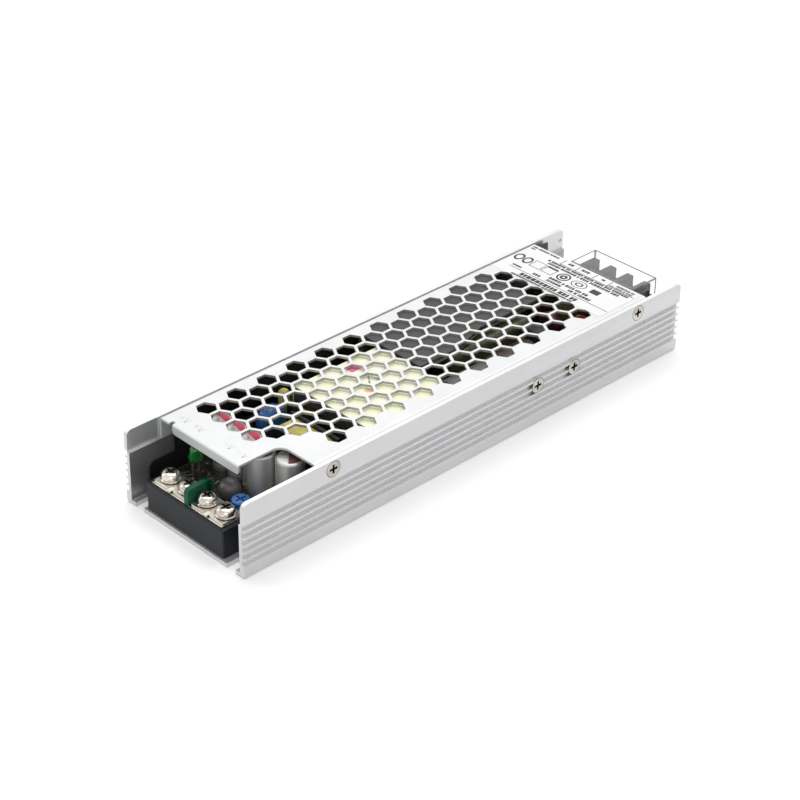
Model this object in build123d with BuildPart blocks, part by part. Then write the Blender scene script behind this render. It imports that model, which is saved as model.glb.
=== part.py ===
from build123d import *
import os
from math import cos, radians, sin, sqrt

# A slim enclosed power supply: an extruded channel, a folded and perforated cover, a circuit board
# with its wound parts, capacitors and clamped transistors, and a screw terminal block at each end.
# All sizes are in millimetres. +Y runs from the output end to the input end, +Z is up, and the
# origin is at the middle of the underside.

os.makedirs("parts", exist_ok=True)

# Overall size of the case
case_length = 194.0
case_width = 55.0
case_height = 26.0

# Extruded chassis
floor_thickness = 1.5
upper_wall = 1.45
lower_wall = 2.25
ledge_height = 18.5
groove_count = 6
groove_pitch = 2.5
groove_height = 1.75
groove_depth = 1.05
band_bottom = 18.8
bottom_radius = 0.9
wall_corner_radius = 2.0
inner_relief_radius = 0.35
fixing_slot_width = 4.0
fixing_slot_length = 6.5
fixing_slot_inset = 3.85
base_hole_radius = 1.25
base_hole_spacing_x = 30.0
base_hole_spacing_y = 150.0
vent_pin_radius = 0.6
vent_pin_inset = 1.6
vent_pin_drop = 4.0

# General clearances
slip = 0.10
seat_gap = 0.20

# Folded cover
cover_sheet = 0.8
cover_front = -84.5
cover_rear = 81.0
cover_top = case_height - slip
cover_bend = 1.2
lip_far_inset = 6.15
lip_near_inset = 15.15
lip_drop = 3.3
lip_corner_radius = 1.2
relief_width = 1.5
relief_depth = 1.6
cutout_rear = -67.8
cutout_radius = 3.5

# Hexagonal vents
hex_pitch = 7.0
hex_flat = 6.0
hex_columns = 22
hex_rows = 6
hex_first_column = -70.8
hex_offset = -0.8
vent_cutout_margin = 5.2

# Rating label
label_front = 59.4
label_rear = 80.7
label_far_inset = 1.25
label_near_inset = 2.05

# Countersunk screws
screw_radius = 1.25
screw_head_radius = 2.75
screw_head_height = 1.3
cover_screw_length = 5.0
clamp_screw_length = 9.6
screw_hole_radius = 1.55
screw_recess_width = 0.75
screw_recess_length = 3.0
screw_recess_depth = 0.9
cover_screw_drop = 3.15
cover_screw_ys = (-62.0, 75.1)
clamp_screw_height = 14.7
clamp_screw_ys = (26.9, 44.2)

# Insulating sheet that lines the channel
sheet_thickness = 0.4
sheet_front = -84.8
sheet_rear = 84.0
flap_headroom = 0.5
far_flap_front = -90.0
far_flap_step = -79.9
far_flap_low_top = 12.1
far_flap_rear_top = 87.4
far_flap_rear_low = 89.5
near_flap_step = -66.0
near_flap_low_top = 17.5
flap_hole_radius = 2.2
flap_corner_radius = 2.0

# Circuit board on its pillars
board_thickness = 1.6
board_gap = 2.9
board_side_gap = 0.45
board_front = -84.8
board_tongue_front = -89.8
board_tongue_width = 34.0
board_rear = 84.5
board_tail_rear = 91.4
pillar_radius = 2.6
pillar_shank_radius = 1.9
pillar_hole_radius = 1.3
pillar_inset = 3.4
pillar_y = 62.5
board_screw_radius = 1.2
board_screw_head_radius = 2.5
board_screw_head_height = 1.7

# Output terminal block
output_middle = -0.7
output_block_width = 35.6
output_block_depth = 11.0
output_block_height = 9.7
output_block_front = -96.2
output_pole_pitch = 8.5
output_pole_count = 4
contact_thickness = 0.8
contact_depth = 9.3
contact_rib_height = 1.5
pocket_depth = 0.4
block_chamfer = 0.35
output_screw_radius = 1.7
output_screw_head_radius = 2.95
output_screw_head_height = 2.2
output_screw_length = 6.4
square_washer_width = 6.5
square_washer_depth = 8.0
square_washer_thickness = 0.7
square_washer_round = 0.6
round_washer_radius = 3.3
round_washer_thickness = 0.7
separator_thickness = 1.6
separator_top = 16.9
separator_corner_radius = 1.6
separator_seat = 2.4
separator_wall = 0.7

# Adjuster
adjuster_x = 8.2
adjuster_y = -81.8
adjuster_body_side = 6.0
adjuster_body_height = 4.0
adjuster_rotor_radius = 2.9
adjuster_rotor_height = 1.8
adjuster_stem_radius = 1.2
adjuster_fit = 0.06
adjuster_slot_width = 0.8
adjuster_slot_length = 3.8
adjuster_bore_depth = 3.0
adjuster_chamfer = 0.8

# Indicator light
light_x = -16.0
light_y = -79.0
light_radius = 1.9
light_base = 13.0
light_top = 18.0
light_rim = 0.4
light_rim_height = 1.0
light_lead = 0.5
light_lead_pitch = 2.54

# Small parts behind the output block
dome_x = 0.3
dome_y = -79.4
dome_radius = 3.5
dome_top = 13.6

# Capacitors of the output filter; insets are from the lining of the near wall
small_can_radius = 3.2
small_can_headroom = 1.9
small_can_xs = (-15.6, -8.6, -1.6)
small_can_y = -68.6
large_can_radius = 4.5
large_can_headroom = 1.7
large_can_insets = (18.75, 10.05)
large_can_ys = (-71.4, -67.7)
can_groove_height = 1.6
can_groove_depth = 0.4
dome_rim = 3.0
small_can_rim = 0.6
large_can_rim = 0.8

# Blue suppression capacitor, a disc on edge
disc_x = -12.5
disc_y = -51.5
disc_radius = 5.2
disc_thickness = 5.0
disc_headroom = 3.1
disc_edge_share = 0.4
disc_lead_radius = 0.35
disc_lead_pitch = 5.0

# Output choke: a taped winding on a bobbin with an end flange
choke_left = -4.8
choke_right = 16.6
choke_front = -58.6
choke_rear = -50.5
choke_headroom = 2.3
choke_flange_thickness = 1.2
choke_flange_rise = 0.8
choke_round = 3.5

# Main transformer: ferrite core, bobbin and the pale tape wound round them
transformer_near_gap = 3.05
transformer_width = 35.7
transformer_front = -41.1
transformer_rear = -6.1
transformer_bottom = 6.8
tape_thickness = 0.5
tape_round = 2.4
core_window = 7.0
core_window_height = 9.0
transformer_foot_inset = 2.0
transformer_foot_width = 3.0
taped_lead_radius = 1.8
taped_lead_x = -15.3
taped_lead_y = -43.8

# Upright boards
rectifier_board_y = -44.6
rectifier_board_left = -13.0
rectifier_board_right = 19.5
upright_board_thickness = 1.2
control_board_gap = 2.65
control_board_front = -56.2
control_board_rear = -11.0
upright_board_top = 14.0
rectifier_board_headroom = 4.6

# Heat spreader over the line side, with the grey pad between it and the cover
pad_thickness = 1.0
pad_far_gap = 0.95
pad_front_width = 29.35
pad_rear_width = 24.9
pad_front = -4.8
pad_rear = 54.0
pad_bend_front = 12.0
pad_bend_rear = 27.0
spreader_thickness = 1.5
spreader_margin = 0.5

# Parts of the line side, each as (left, right, front, rear, top) of a block or a lying can
bulk_can_radius = 8.0
bulk_can_gap = 0.65
bulk_can_front = -4.3
bulk_can_rear = 21.1
small_bulk_radius = 6.5
small_bulk_gap = 7.1
small_bulk_front = 23.0
small_bulk_rear = 41.0
block_round = 0.8
boost_choke_gap = 0.4
boost_choke_front = 10.0
boost_choke_rear = 49.0
boost_choke_width = 9.5
boost_choke_headroom = 1.2
bridge_width = 10.8
bridge_gap = 7.25
bridge_front = 41.6
bridge_thickness = 5.0
bridge_headroom = 3.1
bridge_lead_count = 4
bridge_lead_height = 3.0
bridge_chamfer = 0.5
varistor_gap = 3.65
varistor_y = 60.4
varistor_radius = 5.0
varistor_thickness = 4.0
varistor_headroom = 2.8
thermistor_gap = 1.2
thermistor_y = 56.4
thermistor_radius = 4.4
thermistor_thickness = 4.0
thermistor_headroom = 4.1
resonant_far_gap = 2.0
resonant_near_gap = 2.1
resonant_front = -2.0
resonant_rear = 18.0
resonant_headroom = 3.0
standby_far_gap = 2.5
standby_near_gap = 3.1
standby_front = 24.0
standby_rear = 40.0
standby_headroom = 4.1
filter_choke_x = -10.5
filter_choke_y = 71.0
filter_choke_outer = 8.6
filter_choke_inner = 4.0
filter_choke_thickness = 7.0
filter_wire_radius = 1.0
filter_turns = 5
filter_turn_angle = 24.0
line_capacitor_gap = 2.0
line_capacitor_width = 7.0
line_capacitor_front = 62.0
line_capacitor_rear = 79.0
line_capacitor_headroom = 5.1
fuse_gap = 0.6
fuse_front = 63.0
fuse_rear = 79.0
fuse_radius = 2.6
fuse_cap_length = 4.0
fuse_clip_sheet = 0.5
fuse_middle = 10.5

# Clamped power transistors on the near wall
transistor_width = 10.2
transistor_height = 13.0
transistor_thickness = 4.4
transistor_bottom = 8.0
transistor_lead_count = 3
transistor_lead_pitch = 2.54
transistor_lead_width = 0.8
transistor_lead_thickness = 0.5
clamp_nut_side = 5.5
clamp_nut_thickness = 2.4

# Input terminal block
input_pole_count = 3
input_pole_pitch = 7.62
input_barrier = 2.3
input_left = -7.55
input_front = 83.6
input_rear = 93.0
input_base_height = 6.6
barrier_headroom = 0.9
input_spine = 1.8
barrier_chamfer = 0.5
input_screw_share = 0.42
input_well_depth = 4.6
input_screw_radius = 1.5
input_screw_head_radius = 2.45
input_screw_head_height = 1.9

# Clear hinged cover of the input block
flap_sheet = 1.0
flap_front = 81.9
flap_top_drop = 0.4
flap_skirt_height = 7.5
flap_hinge_y = 85.2
flap_hinge_drop = 3.5
flap_pin_radius = 0.9
flap_pin_fit = 0.06
flap_side_gap = 0.25
flap_skirt_gap = 0.4

# Heights that the inner parts share
board_bottom = floor_thickness + board_gap
board_top = board_bottom + board_thickness
cover_under = cover_top - cover_sheet
parts_top = cover_under - 0.7
input_width = input_pole_count * input_pole_pitch + input_barrier
half_width = case_width / 2
half_length = case_length / 2
inner_half = half_width - lower_wall
flap_x = inner_half - seat_gap
cover_half = half_width - upper_wall - slip
cover_screw_height = case_height - cover_screw_drop
vent_pin_height = case_height - vent_pin_drop
spreader_bottom = cover_under - pad_thickness - spreader_thickness

# Places across the case, from its walls and their lining
far_face = -(flap_x - sheet_thickness)
near_face = flap_x - sheet_thickness
fixing_slot_x = inner_half - fixing_slot_inset
lip_left = -cover_half + lip_far_inset
lip_right = cover_half - lip_near_inset
label_left = -cover_half + label_far_inset
label_right = cover_half - label_near_inset
board_width = 2 * (near_face - board_side_gap)
pillar_x = board_width / 2 - pillar_inset
small_cans = [(x, small_can_y) for x in small_can_xs]
large_cans = [(near_face - inset, y) for inset, y in zip(large_can_insets, large_can_ys)]
transformer_right = near_face - transformer_near_gap
transformer_left = transformer_right - transformer_width
control_board_x = far_face + control_board_gap
pad_left = far_face + pad_far_gap
pad_right_front = pad_left + pad_front_width
pad_right_rear = pad_left + pad_rear_width
spreader_foot_x = pad_left + spreader_margin + spreader_thickness
bulk_can_x = near_face - bulk_can_gap - bulk_can_radius
small_bulk_x = near_face - small_bulk_gap - small_bulk_radius
boost_choke_right = small_bulk_x - small_bulk_radius - boost_choke_gap
boost_choke_left = boost_choke_right - boost_choke_width
bridge_right = near_face - bridge_gap
bridge_left = bridge_right - bridge_width
varistor_x = near_face - varistor_gap - varistor_radius
thermistor_x = varistor_x - varistor_radius - thermistor_gap - thermistor_radius
resonant_left = spreader_foot_x + resonant_far_gap
resonant_right = boost_choke_left - resonant_near_gap
standby_left = spreader_foot_x + standby_far_gap
standby_right = boost_choke_left - standby_near_gap
fuse_x = pillar_x - board_screw_head_radius - fuse_gap - fuse_radius - fuse_clip_sheet
line_capacitor_right = fuse_x - fuse_radius - fuse_clip_sheet - line_capacitor_gap
line_capacitor_left = line_capacitor_right - line_capacitor_width

# Tops of the parts, from the cover and the heat spreader over them
flap_top = cover_under - flap_headroom
small_can_top = cover_under - small_can_headroom
large_can_top = cover_under - large_can_headroom
disc_top = cover_under - disc_headroom
choke_top = cover_under - choke_headroom
rectifier_board_top = cover_under - rectifier_board_headroom
bridge_top = cover_under - bridge_headroom
varistor_top = cover_under - varistor_headroom
thermistor_top = cover_under - thermistor_headroom
line_capacitor_top = cover_under - line_capacitor_headroom
boost_choke_top = spreader_bottom - boost_choke_headroom
resonant_top = spreader_bottom - resonant_headroom
standby_top = spreader_bottom - standby_headroom

# Clear cover over the input block
flap_rear = input_rear + flap_skirt_gap + flap_sheet
flap_top_height = cover_top - flap_top_drop
flap_skirt_bottom = flap_top_height - flap_skirt_height
flap_hinge_z = flap_top_height - flap_hinge_drop
input_barrier_top = flap_top_height - flap_sheet - barrier_headroom

centre_low = (Align.CENTER, Align.CENTER, Align.MIN)
centre_min = (Align.CENTER, Align.MIN)
low_corner = (Align.MIN, Align.MIN)


def across(y):
    """Plane at y across the case, whose drawing is X to the right and Z up."""
    return Plane.XZ.offset(-y)


def along(x):
    """Plane at x along the case, whose drawing is Y to the right and Z up."""
    return Plane.YZ.offset(x)


def level(z):
    """Level plane at height z."""
    return Plane.XY.offset(z)


def side_plane(side, x, y, z):
    """Plane on a wall, facing out of the case on the +X or the -X side."""
    return Plane(origin=(side * x, y, z), z_dir=(side, 0, 0))


def pillar_points():
    """Places of the four board pillars."""
    return [(side * pillar_x, end * pillar_y) for side in (-1, 1) for end in (-1, 1)]


def save(piece, name):
    """Label a finished piece and write it to its own file."""
    piece.part.label = name
    export_step(piece.part, f"parts/{name}.step")


# Chassis: one extrusion with ribbed walls, cut to length, slotted and countersunk
with BuildPart() as chassis:
    with BuildSketch(across(-half_length)):
        Rectangle(case_width, case_height, align=centre_min)
        with Locations((0, floor_thickness)):
            Rectangle(2 * inner_half, case_height, align=centre_min, mode=Mode.SUBTRACT)
        with Locations((0, ledge_height)):
            Rectangle(case_width - 2 * upper_wall, case_height, align=centre_min, mode=Mode.SUBTRACT)
        for side in (-1, 1):
            for groove in range(groove_count):
                groove_middle = band_bottom - groove_height / 2 - groove * groove_pitch
                with Locations((side * (half_width - groove_depth / 2), groove_middle)):
                    Rectangle(groove_depth, groove_height, mode=Mode.SUBTRACT)
            with Locations((side * (inner_half - inner_relief_radius), floor_thickness)):
                Circle(inner_relief_radius, mode=Mode.SUBTRACT)
    extrude(amount=-case_length)
    fillet(chassis.edges().filter_by(Axis.Y).group_by(Axis.Z)[0], bottom_radius)
    fillet(chassis.edges().filter_by(Axis.X).group_by(Axis.Z)[-1], wall_corner_radius)
    # Open-ended fixing slots in the floor
    with BuildSketch(Plane.XY):
        with GridLocations(2 * fixing_slot_x, case_length, 2, 2):
            SlotOverall(2 * fixing_slot_length, fixing_slot_width, rotation=90)
    extrude(amount=floor_thickness, mode=Mode.SUBTRACT)
    # Threaded fixing holes and the seats of the board pillars
    with Locations((0, 0, floor_thickness)):
        with GridLocations(base_hole_spacing_x, base_hole_spacing_y, 2, 2):
            Hole(base_hole_radius, depth=floor_thickness)
        with Locations(*pillar_points()):
            Hole(pillar_shank_radius + slip / 2, depth=floor_thickness)
    # Countersunk screw holes: the cover screws on both sides, the clamp screws on the near side
    with Locations(*[side_plane(side, half_width, y, cover_screw_height)
                     for side in (-1, 1) for y in cover_screw_ys]):
        CounterSinkHole(screw_hole_radius, screw_head_radius + slip / 2, depth=lower_wall,
                        counter_sink_angle=90)
    with Locations(*[side_plane(1, half_width, y, clamp_screw_height) for y in clamp_screw_ys]):
        CounterSinkHole(screw_hole_radius, screw_head_radius + slip / 2, depth=lower_wall + slip,
                        counter_sink_angle=90)
    with Locations(side_plane(-1, half_width, half_length - vent_pin_inset, vent_pin_height)):
        Hole(vent_pin_radius, depth=upper_wall + slip)
save(chassis, "chassis")


# Cover: a folded channel with a turned-down lip, a corner cut-out and a field of hexagonal vents
def vent_points():
    """Centres of the vents: staggered columns, fewer of them beside the corner cut-out."""
    column_step = hex_pitch * sqrt(3) / 2
    half_rows = (hex_rows - 0.5) / 2
    points = []
    for column in range(hex_columns):
        y = hex_first_column + column * column_step
        last_x = lip_right - vent_cutout_margin + (y - cutout_rear)
        for row in range(hex_rows):
            x = hex_offset + (row - half_rows + (column % 2) / 2) * hex_pitch
            if x < last_x:
                points.append((x, y))
    return points


with BuildPart() as top_cover:
    with BuildSketch(across(cover_front)) as cover_section:
        with Locations((0, ledge_height + slip)):
            Rectangle(2 * cover_half, cover_top - ledge_height - slip, align=centre_min)
        fillet(cover_section.vertices().group_by(Axis.Y)[-1], cover_bend)
        with BuildSketch(mode=Mode.SUBTRACT) as cover_inside:
            with Locations((0, ledge_height)):
                Rectangle(2 * (cover_half - cover_sheet), cover_under - ledge_height, align=centre_min)
            fillet(cover_inside.vertices().group_by(Axis.Y)[-1], cover_bend - cover_sheet)
    extrude(amount=-(cover_rear - cover_front))
    # Turned-down front lip with rounded lower corners and a rounded bend
    with BuildSketch(across(cover_front)) as lip_face:
        with Locations((lip_left, cover_top - lip_drop)):
            Rectangle(lip_right - lip_left, lip_drop, align=low_corner)
        fillet(lip_face.vertices().group_by(Axis.Y)[0], lip_corner_radius)
    extrude(amount=-cover_sheet)
    # Relief between the lip and the far flange
    with BuildSketch(level(cover_top)):
        with Locations((lip_left, cover_front)):
            Rectangle(relief_width, relief_depth, align=(Align.MAX, Align.MIN))
    extrude(amount=-cover_bend - cover_sheet, mode=Mode.SUBTRACT)
    # Corner cut-out over the adjuster, through the sheet and the near flange
    with BuildSketch(level(cover_top)) as corner_cut:
        with Locations((lip_right, cover_front - 1)):
            Rectangle(case_width, cutout_rear - cover_front + 1, align=low_corner)
        fillet(corner_cut.vertices().sort_by_distance((lip_right, cutout_rear))[0], cutout_radius)
    extrude(amount=-case_height, mode=Mode.SUBTRACT)
    front_edge = top_cover.edges().filter_by(Axis.X).filter_by_position(
        Axis.Y, cover_front - 0.01, cover_front + 0.01).group_by(Axis.Z)[-1]
    fillet(front_edge.sort_by(SortBy.LENGTH)[-1], cover_sheet * 0.9)
    # Vents
    with BuildSketch(level(cover_top)):
        with Locations(*vent_points()):
            RegularPolygon(hex_flat / sqrt(3), 6, rotation=90)
    extrude(amount=-cover_sheet, mode=Mode.SUBTRACT)
    with Locations(*[side_plane(side, cover_half, y, cover_screw_height)
                     for side in (-1, 1) for y in cover_screw_ys]):
        Hole(screw_radius + slip / 2, depth=cover_sheet + slip)
save(top_cover, "top_cover")

# Rating label: a thin sheet on the input end of the cover
with BuildPart() as rating_label:
    with BuildSketch(level(cover_top)):
        with Locations((label_left, label_front)):
            Rectangle(label_right - label_left, label_rear - label_front, align=low_corner)
    extrude(amount=case_height - cover_top)
save(rating_label, "rating_label")


# Countersunk cross-recess screws
def cross_recess(plane, width, length, depth):
    """Cut a cross recess of the given width and length into the open part builder."""
    with BuildSketch(plane) as cross:
        Rectangle(length, width)
        Rectangle(width, length)
    extrude(cross.sketch, amount=-depth, mode=Mode.SUBTRACT)


def countersunk_screw(length):
    """Countersunk screw of the given length whose head is flush with height zero."""
    with BuildPart() as screw:
        with BuildSketch(Plane.XZ):
            with BuildLine():
                Polyline((0, 0), (screw_head_radius, 0), (screw_radius, -screw_head_height),
                         (screw_radius, -length), (0, -length), close=True)
            make_face()
        revolve(axis=Axis.Z)
        cross_recess(Plane.XY, screw_recess_width, screw_recess_length, screw_recess_depth)
    return screw.part


cover_screw = countersunk_screw(cover_screw_length)
with BuildPart() as cover_screws:
    with Locations(*[side_plane(side, half_width, y, cover_screw_height)
                     for side in (-1, 1) for y in cover_screw_ys]):
        add(cover_screw)
save(cover_screws, "cover_screws")

clamp_screw = countersunk_screw(clamp_screw_length)
with BuildPart() as clamp_screws:
    with Locations(*[side_plane(1, half_width, y, clamp_screw_height) for y in clamp_screw_ys]):
        add(clamp_screw)
save(clamp_screws, "clamp_screws")


# Insulating sheet: a black tray with two upright flaps against the walls
with BuildPart() as insulating_sheet:
    with BuildSketch(level(floor_thickness)):
        with Locations((0, sheet_front)):
            Rectangle(2 * flap_x, sheet_rear - sheet_front, align=centre_min)
        with GridLocations(base_hole_spacing_x, base_hole_spacing_y, 2, 2):
            Circle(flap_hole_radius, mode=Mode.SUBTRACT)
        with Locations(*pillar_points()):
            Circle(pillar_radius + slip, mode=Mode.SUBTRACT)
    extrude(amount=sheet_thickness)
    with BuildSketch(along(-flap_x)) as far_flap:
        with BuildLine():
            Polyline((far_flap_front, floor_thickness), (far_flap_front, far_flap_low_top),
                     (far_flap_step, far_flap_low_top), (far_flap_step, flap_top),
                     (far_flap_rear_top, flap_top), (far_flap_rear_low, floor_thickness), close=True)
        make_face()
        fillet(far_flap.vertices().sort_by_distance((far_flap_front, far_flap_low_top))[0],
               flap_corner_radius)
        with Locations(*[(y, cover_screw_height) for y in cover_screw_ys]):
            Circle(flap_hole_radius, mode=Mode.SUBTRACT)
    extrude(amount=sheet_thickness)
    with BuildSketch(along(flap_x)):
        with BuildLine():
            Polyline((sheet_front, floor_thickness), (sheet_front, near_flap_low_top),
                     (near_flap_step, near_flap_low_top), (near_flap_step, flap_top),
                     (sheet_rear, flap_top), (sheet_rear, floor_thickness), close=True)
        make_face()
        with Locations(*[(y, cover_screw_height) for y in cover_screw_ys]):
            Circle(flap_hole_radius, mode=Mode.SUBTRACT)
        with Locations(*[(y, clamp_screw_height) for y in clamp_screw_ys]):
            Circle(flap_hole_radius, mode=Mode.SUBTRACT)
    extrude(amount=-sheet_thickness)
save(insulating_sheet, "insulating_sheet")

# Circuit board with a narrow tongue under each terminal block
with BuildPart() as circuit_board:
    with BuildSketch(level(board_bottom)):
        with Locations((0, board_front)):
            Rectangle(board_width, board_rear - board_front, align=centre_min)
        with Locations((output_middle, board_tongue_front)):
            Rectangle(board_tongue_width, board_front - board_tongue_front, align=centre_min)
        with Locations((input_left + slip, board_rear)):
            Rectangle(input_width - 2 * slip, board_tail_rear - board_rear, align=low_corner)
        with Locations(*pillar_points()):
            Circle(board_screw_radius + slip, mode=Mode.SUBTRACT)
    extrude(amount=board_thickness)
save(circuit_board, "circuit_board")

# Pillars pressed into the floor, and the screws that hold the board down on them
with BuildPart() as board_pillar:
    with Locations((0, 0, seat_gap)):
        Cylinder(pillar_shank_radius, floor_thickness - seat_gap, align=centre_low)
    with Locations((0, 0, floor_thickness)):
        Cylinder(pillar_radius, board_gap, align=centre_low)
    with Locations((0, 0, board_bottom)):
        Hole(pillar_hole_radius, depth=board_gap)

with BuildPart() as board_pillars:
    with Locations(*pillar_points()):
        add(board_pillar.part)
save(board_pillars, "board_pillars")

with BuildPart() as board_screw:
    with Locations((0, 0, board_bottom - board_gap + 2 * seat_gap)):
        Cylinder(board_screw_radius, board_gap + board_thickness - 2 * seat_gap, align=centre_low)
    with Locations((0, 0, board_top)):
        Cylinder(board_screw_head_radius, board_screw_head_height, align=centre_low)
    fillet(board_screw.edges().group_by(Axis.Z)[-1], board_screw_head_height / 3)
    cross_recess(level(board_top + board_screw_head_height), screw_recess_width,
                 screw_recess_length, board_screw_head_height / 2)

with BuildPart() as board_screws:
    with Locations(*pillar_points()):
        add(board_screw.part)
save(board_screws, "board_screws")


# Output terminal block: moulded body, two contact plates, four screws with their washers
output_block_top = floor_thickness + output_block_height
contact_bottom = output_block_top - pocket_depth
contact_top = contact_bottom + contact_thickness
output_block_y = output_block_front + output_block_depth / 2
output_pole_xs = [output_middle + (pole - (output_pole_count - 1) / 2) * output_pole_pitch
                  for pole in range(output_pole_count)]
contact_xs = (output_middle - output_pole_pitch, output_middle + output_pole_pitch)
contact_width = output_pole_pitch + square_washer_width + 2 * slip
output_poles = [(x, output_block_y) for x in output_pole_xs]

with BuildPart() as output_block:
    with BuildSketch(level(floor_thickness)):
        with Locations((output_middle, output_block_front)):
            Rectangle(output_block_width, output_block_depth, align=centre_min)
    extrude(amount=output_block_height)
    chamfer(output_block.edges().filter_by(Axis.Z), block_chamfer)
    chamfer(output_block.edges().filter_by(Axis.X).group_by(Axis.Z)[-1], block_chamfer)
    # Rabbet that the board's tongue slides into
    with BuildSketch(level(floor_thickness)):
        with Locations((output_middle, board_tongue_front - slip)):
            Rectangle(output_block_width, output_block_depth, align=centre_min)
    extrude(amount=board_top - floor_thickness, mode=Mode.SUBTRACT)
    # Pockets of the contact plates, screw wells and the slot of the separator
    with BuildSketch(level(output_block_top)):
        with Locations(*[(x, output_block_y) for x in contact_xs]):
            Rectangle(contact_width + 2 * slip, contact_depth + 2 * slip)
    extrude(amount=-pocket_depth, mode=Mode.SUBTRACT)
    with Locations(*[(x, y, contact_bottom) for x, y in output_poles]):
        Hole(output_screw_radius + 2 * slip, depth=contact_bottom - board_top - seat_gap * 2)
    with BuildSketch(level(output_block_top)):
        with Locations((output_middle, output_block_front + separator_wall)):
            Rectangle(separator_thickness + slip, output_block_depth, align=centre_min)
    extrude(amount=-separator_seat, mode=Mode.SUBTRACT)
save(output_block, "output_block")

with BuildPart() as output_contacts:
    with BuildSketch(level(contact_bottom)):
        with Locations(*[(x, output_block_y) for x in contact_xs]):
            Rectangle(contact_width, contact_depth)
        with Locations(*output_poles):
            Circle(output_screw_radius + slip, mode=Mode.SUBTRACT)
    extrude(amount=contact_thickness)
    # Raised rib between the two screws of each plate
    with BuildSketch(level(contact_top)):
        with Locations(*[(x, output_block_y) for x in contact_xs]):
            Rectangle(output_pole_pitch - square_washer_width - 2 * slip, contact_depth)
    extrude(amount=contact_rib_height - contact_thickness)
save(output_contacts, "output_contacts")

with BuildPart() as output_square_washers:
    with BuildSketch(level(contact_top)):
        with Locations(*output_poles):
            RectangleRounded(square_washer_width, square_washer_depth, square_washer_round)
            Circle(output_screw_radius + slip, mode=Mode.SUBTRACT)
    extrude(amount=square_washer_thickness)
save(output_square_washers, "output_square_washers")

round_washer_bottom = contact_top + square_washer_thickness
with BuildPart() as output_round_washers:
    with BuildSketch(level(round_washer_bottom)):
        with Locations(*output_poles):
            Circle(round_washer_radius)
            Circle(output_screw_radius + slip, mode=Mode.SUBTRACT)
    extrude(amount=round_washer_thickness)
    chamfer(output_round_washers.edges().filter_by(GeomType.CIRCLE).group_by(SortBy.RADIUS)[-1],
            round_washer_thickness / 3)
save(output_round_washers, "output_round_washers")


def pan_screw(head_radius, head_height, shaft_radius, shaft_length):
    """Pan-head screw whose head sits on height zero, with a rounded head and a cross recess."""
    with BuildPart() as screw:
        Cylinder(head_radius, head_height, align=centre_low)
        fillet(screw.edges().group_by(Axis.Z)[-1], head_height * 0.6)
        with Locations((0, 0, -shaft_length)):
            Cylinder(shaft_radius, shaft_length, align=centre_low)
        cross_recess(level(head_height), head_radius * 0.3, head_radius * 1.2, head_height * 0.55)
    return screw.part


output_head_seat = round_washer_bottom + round_washer_thickness
output_screw = pan_screw(output_screw_head_radius, output_screw_head_height,
                         output_screw_radius, output_screw_length)
with BuildPart() as output_screws:
    with Locations(*[(x, y, output_head_seat) for x, y in output_poles]):
        add(output_screw)
save(output_screws, "output_screws")

with BuildPart() as polarity_separator:
    separator_bottom = output_block_top - separator_seat
    separator_front = output_block_front + separator_wall + slip
    with BuildSketch(along(output_middle - separator_thickness / 2)) as separator_face:
        with Locations((separator_front, separator_bottom)):
            Rectangle(output_block_front + output_block_depth - separator_front,
                      separator_top - separator_bottom, align=low_corner)
        fillet(separator_face.vertices().group_by(Axis.Y)[-1], separator_corner_radius)
    extrude(amount=separator_thickness)
save(polarity_separator, "polarity_separator")

# Adjuster: a square body and the blue rotor that a small screwdriver turns
with BuildPart() as adjuster_body:
    with Locations((adjuster_x, adjuster_y, board_top)):
        Box(adjuster_body_side, adjuster_body_side, adjuster_body_height, align=centre_low)
    chamfer(adjuster_body.edges().filter_by(Axis.Z), adjuster_chamfer)
    with Locations((adjuster_x, adjuster_y, board_top + adjuster_body_height)):
        Hole(adjuster_stem_radius + adjuster_fit, depth=adjuster_bore_depth)
save(adjuster_body, "adjuster_body")

with BuildPart() as adjuster_rotor:
    rotor_bottom = board_top + adjuster_body_height + adjuster_fit
    rotor_top = rotor_bottom + adjuster_rotor_height
    with Locations((adjuster_x, adjuster_y, rotor_bottom)):
        Cylinder(adjuster_rotor_radius, adjuster_rotor_height, align=centre_low)
    fillet(adjuster_rotor.edges().group_by(Axis.Z)[-1], adjuster_rotor_height / 4)
    with Locations((adjuster_x, adjuster_y, rotor_bottom)):
        Cylinder(adjuster_stem_radius, adjuster_bore_depth - seat_gap,
                 align=(Align.CENTER, Align.CENTER, Align.MAX))
    with BuildSketch(level(rotor_top)):
        with Locations((adjuster_x, adjuster_y)):
            Rectangle(adjuster_slot_length, adjuster_slot_width)
            Rectangle(adjuster_slot_width, adjuster_slot_length)
    extrude(amount=-adjuster_rotor_height / 2, mode=Mode.SUBTRACT)
save(adjuster_rotor, "adjuster_rotor")

# Indicator light on two tall leads
with BuildPart() as indicator_light:
    with Locations((light_x, light_y, light_base)):
        Cylinder(light_radius + light_rim, light_rim_height, align=centre_low)
        Cylinder(light_radius, light_top - light_base, align=centre_low)
    fillet(indicator_light.edges().group_by(Axis.Z)[-1], light_radius * 0.9)
    with Locations((light_x, light_y, board_top)):
        with GridLocations(0, light_lead_pitch, 1, 2):
            Box(light_lead, light_lead, light_base - board_top, align=centre_low)
save(indicator_light, "indicator_light")


def standing_cans(places, radius, top, rim):
    """Equal cans that stand on the board, with a rounded shoulder and a crimped groove."""
    with BuildPart() as cans:
        with BuildSketch(level(board_top)):
            with Locations(*places):
                Circle(radius)
        extrude(amount=top - board_top)
        fillet(cans.edges().group_by(Axis.Z)[-1], rim)
        with BuildSketch(level(board_top + can_groove_height)):
            with Locations(*places):
                Circle(radius + can_groove_depth)
            with Locations(*places):
                Circle(radius - can_groove_depth, mode=Mode.SUBTRACT)
        extrude(amount=can_groove_depth * 2, mode=Mode.SUBTRACT)
    return cans


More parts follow.
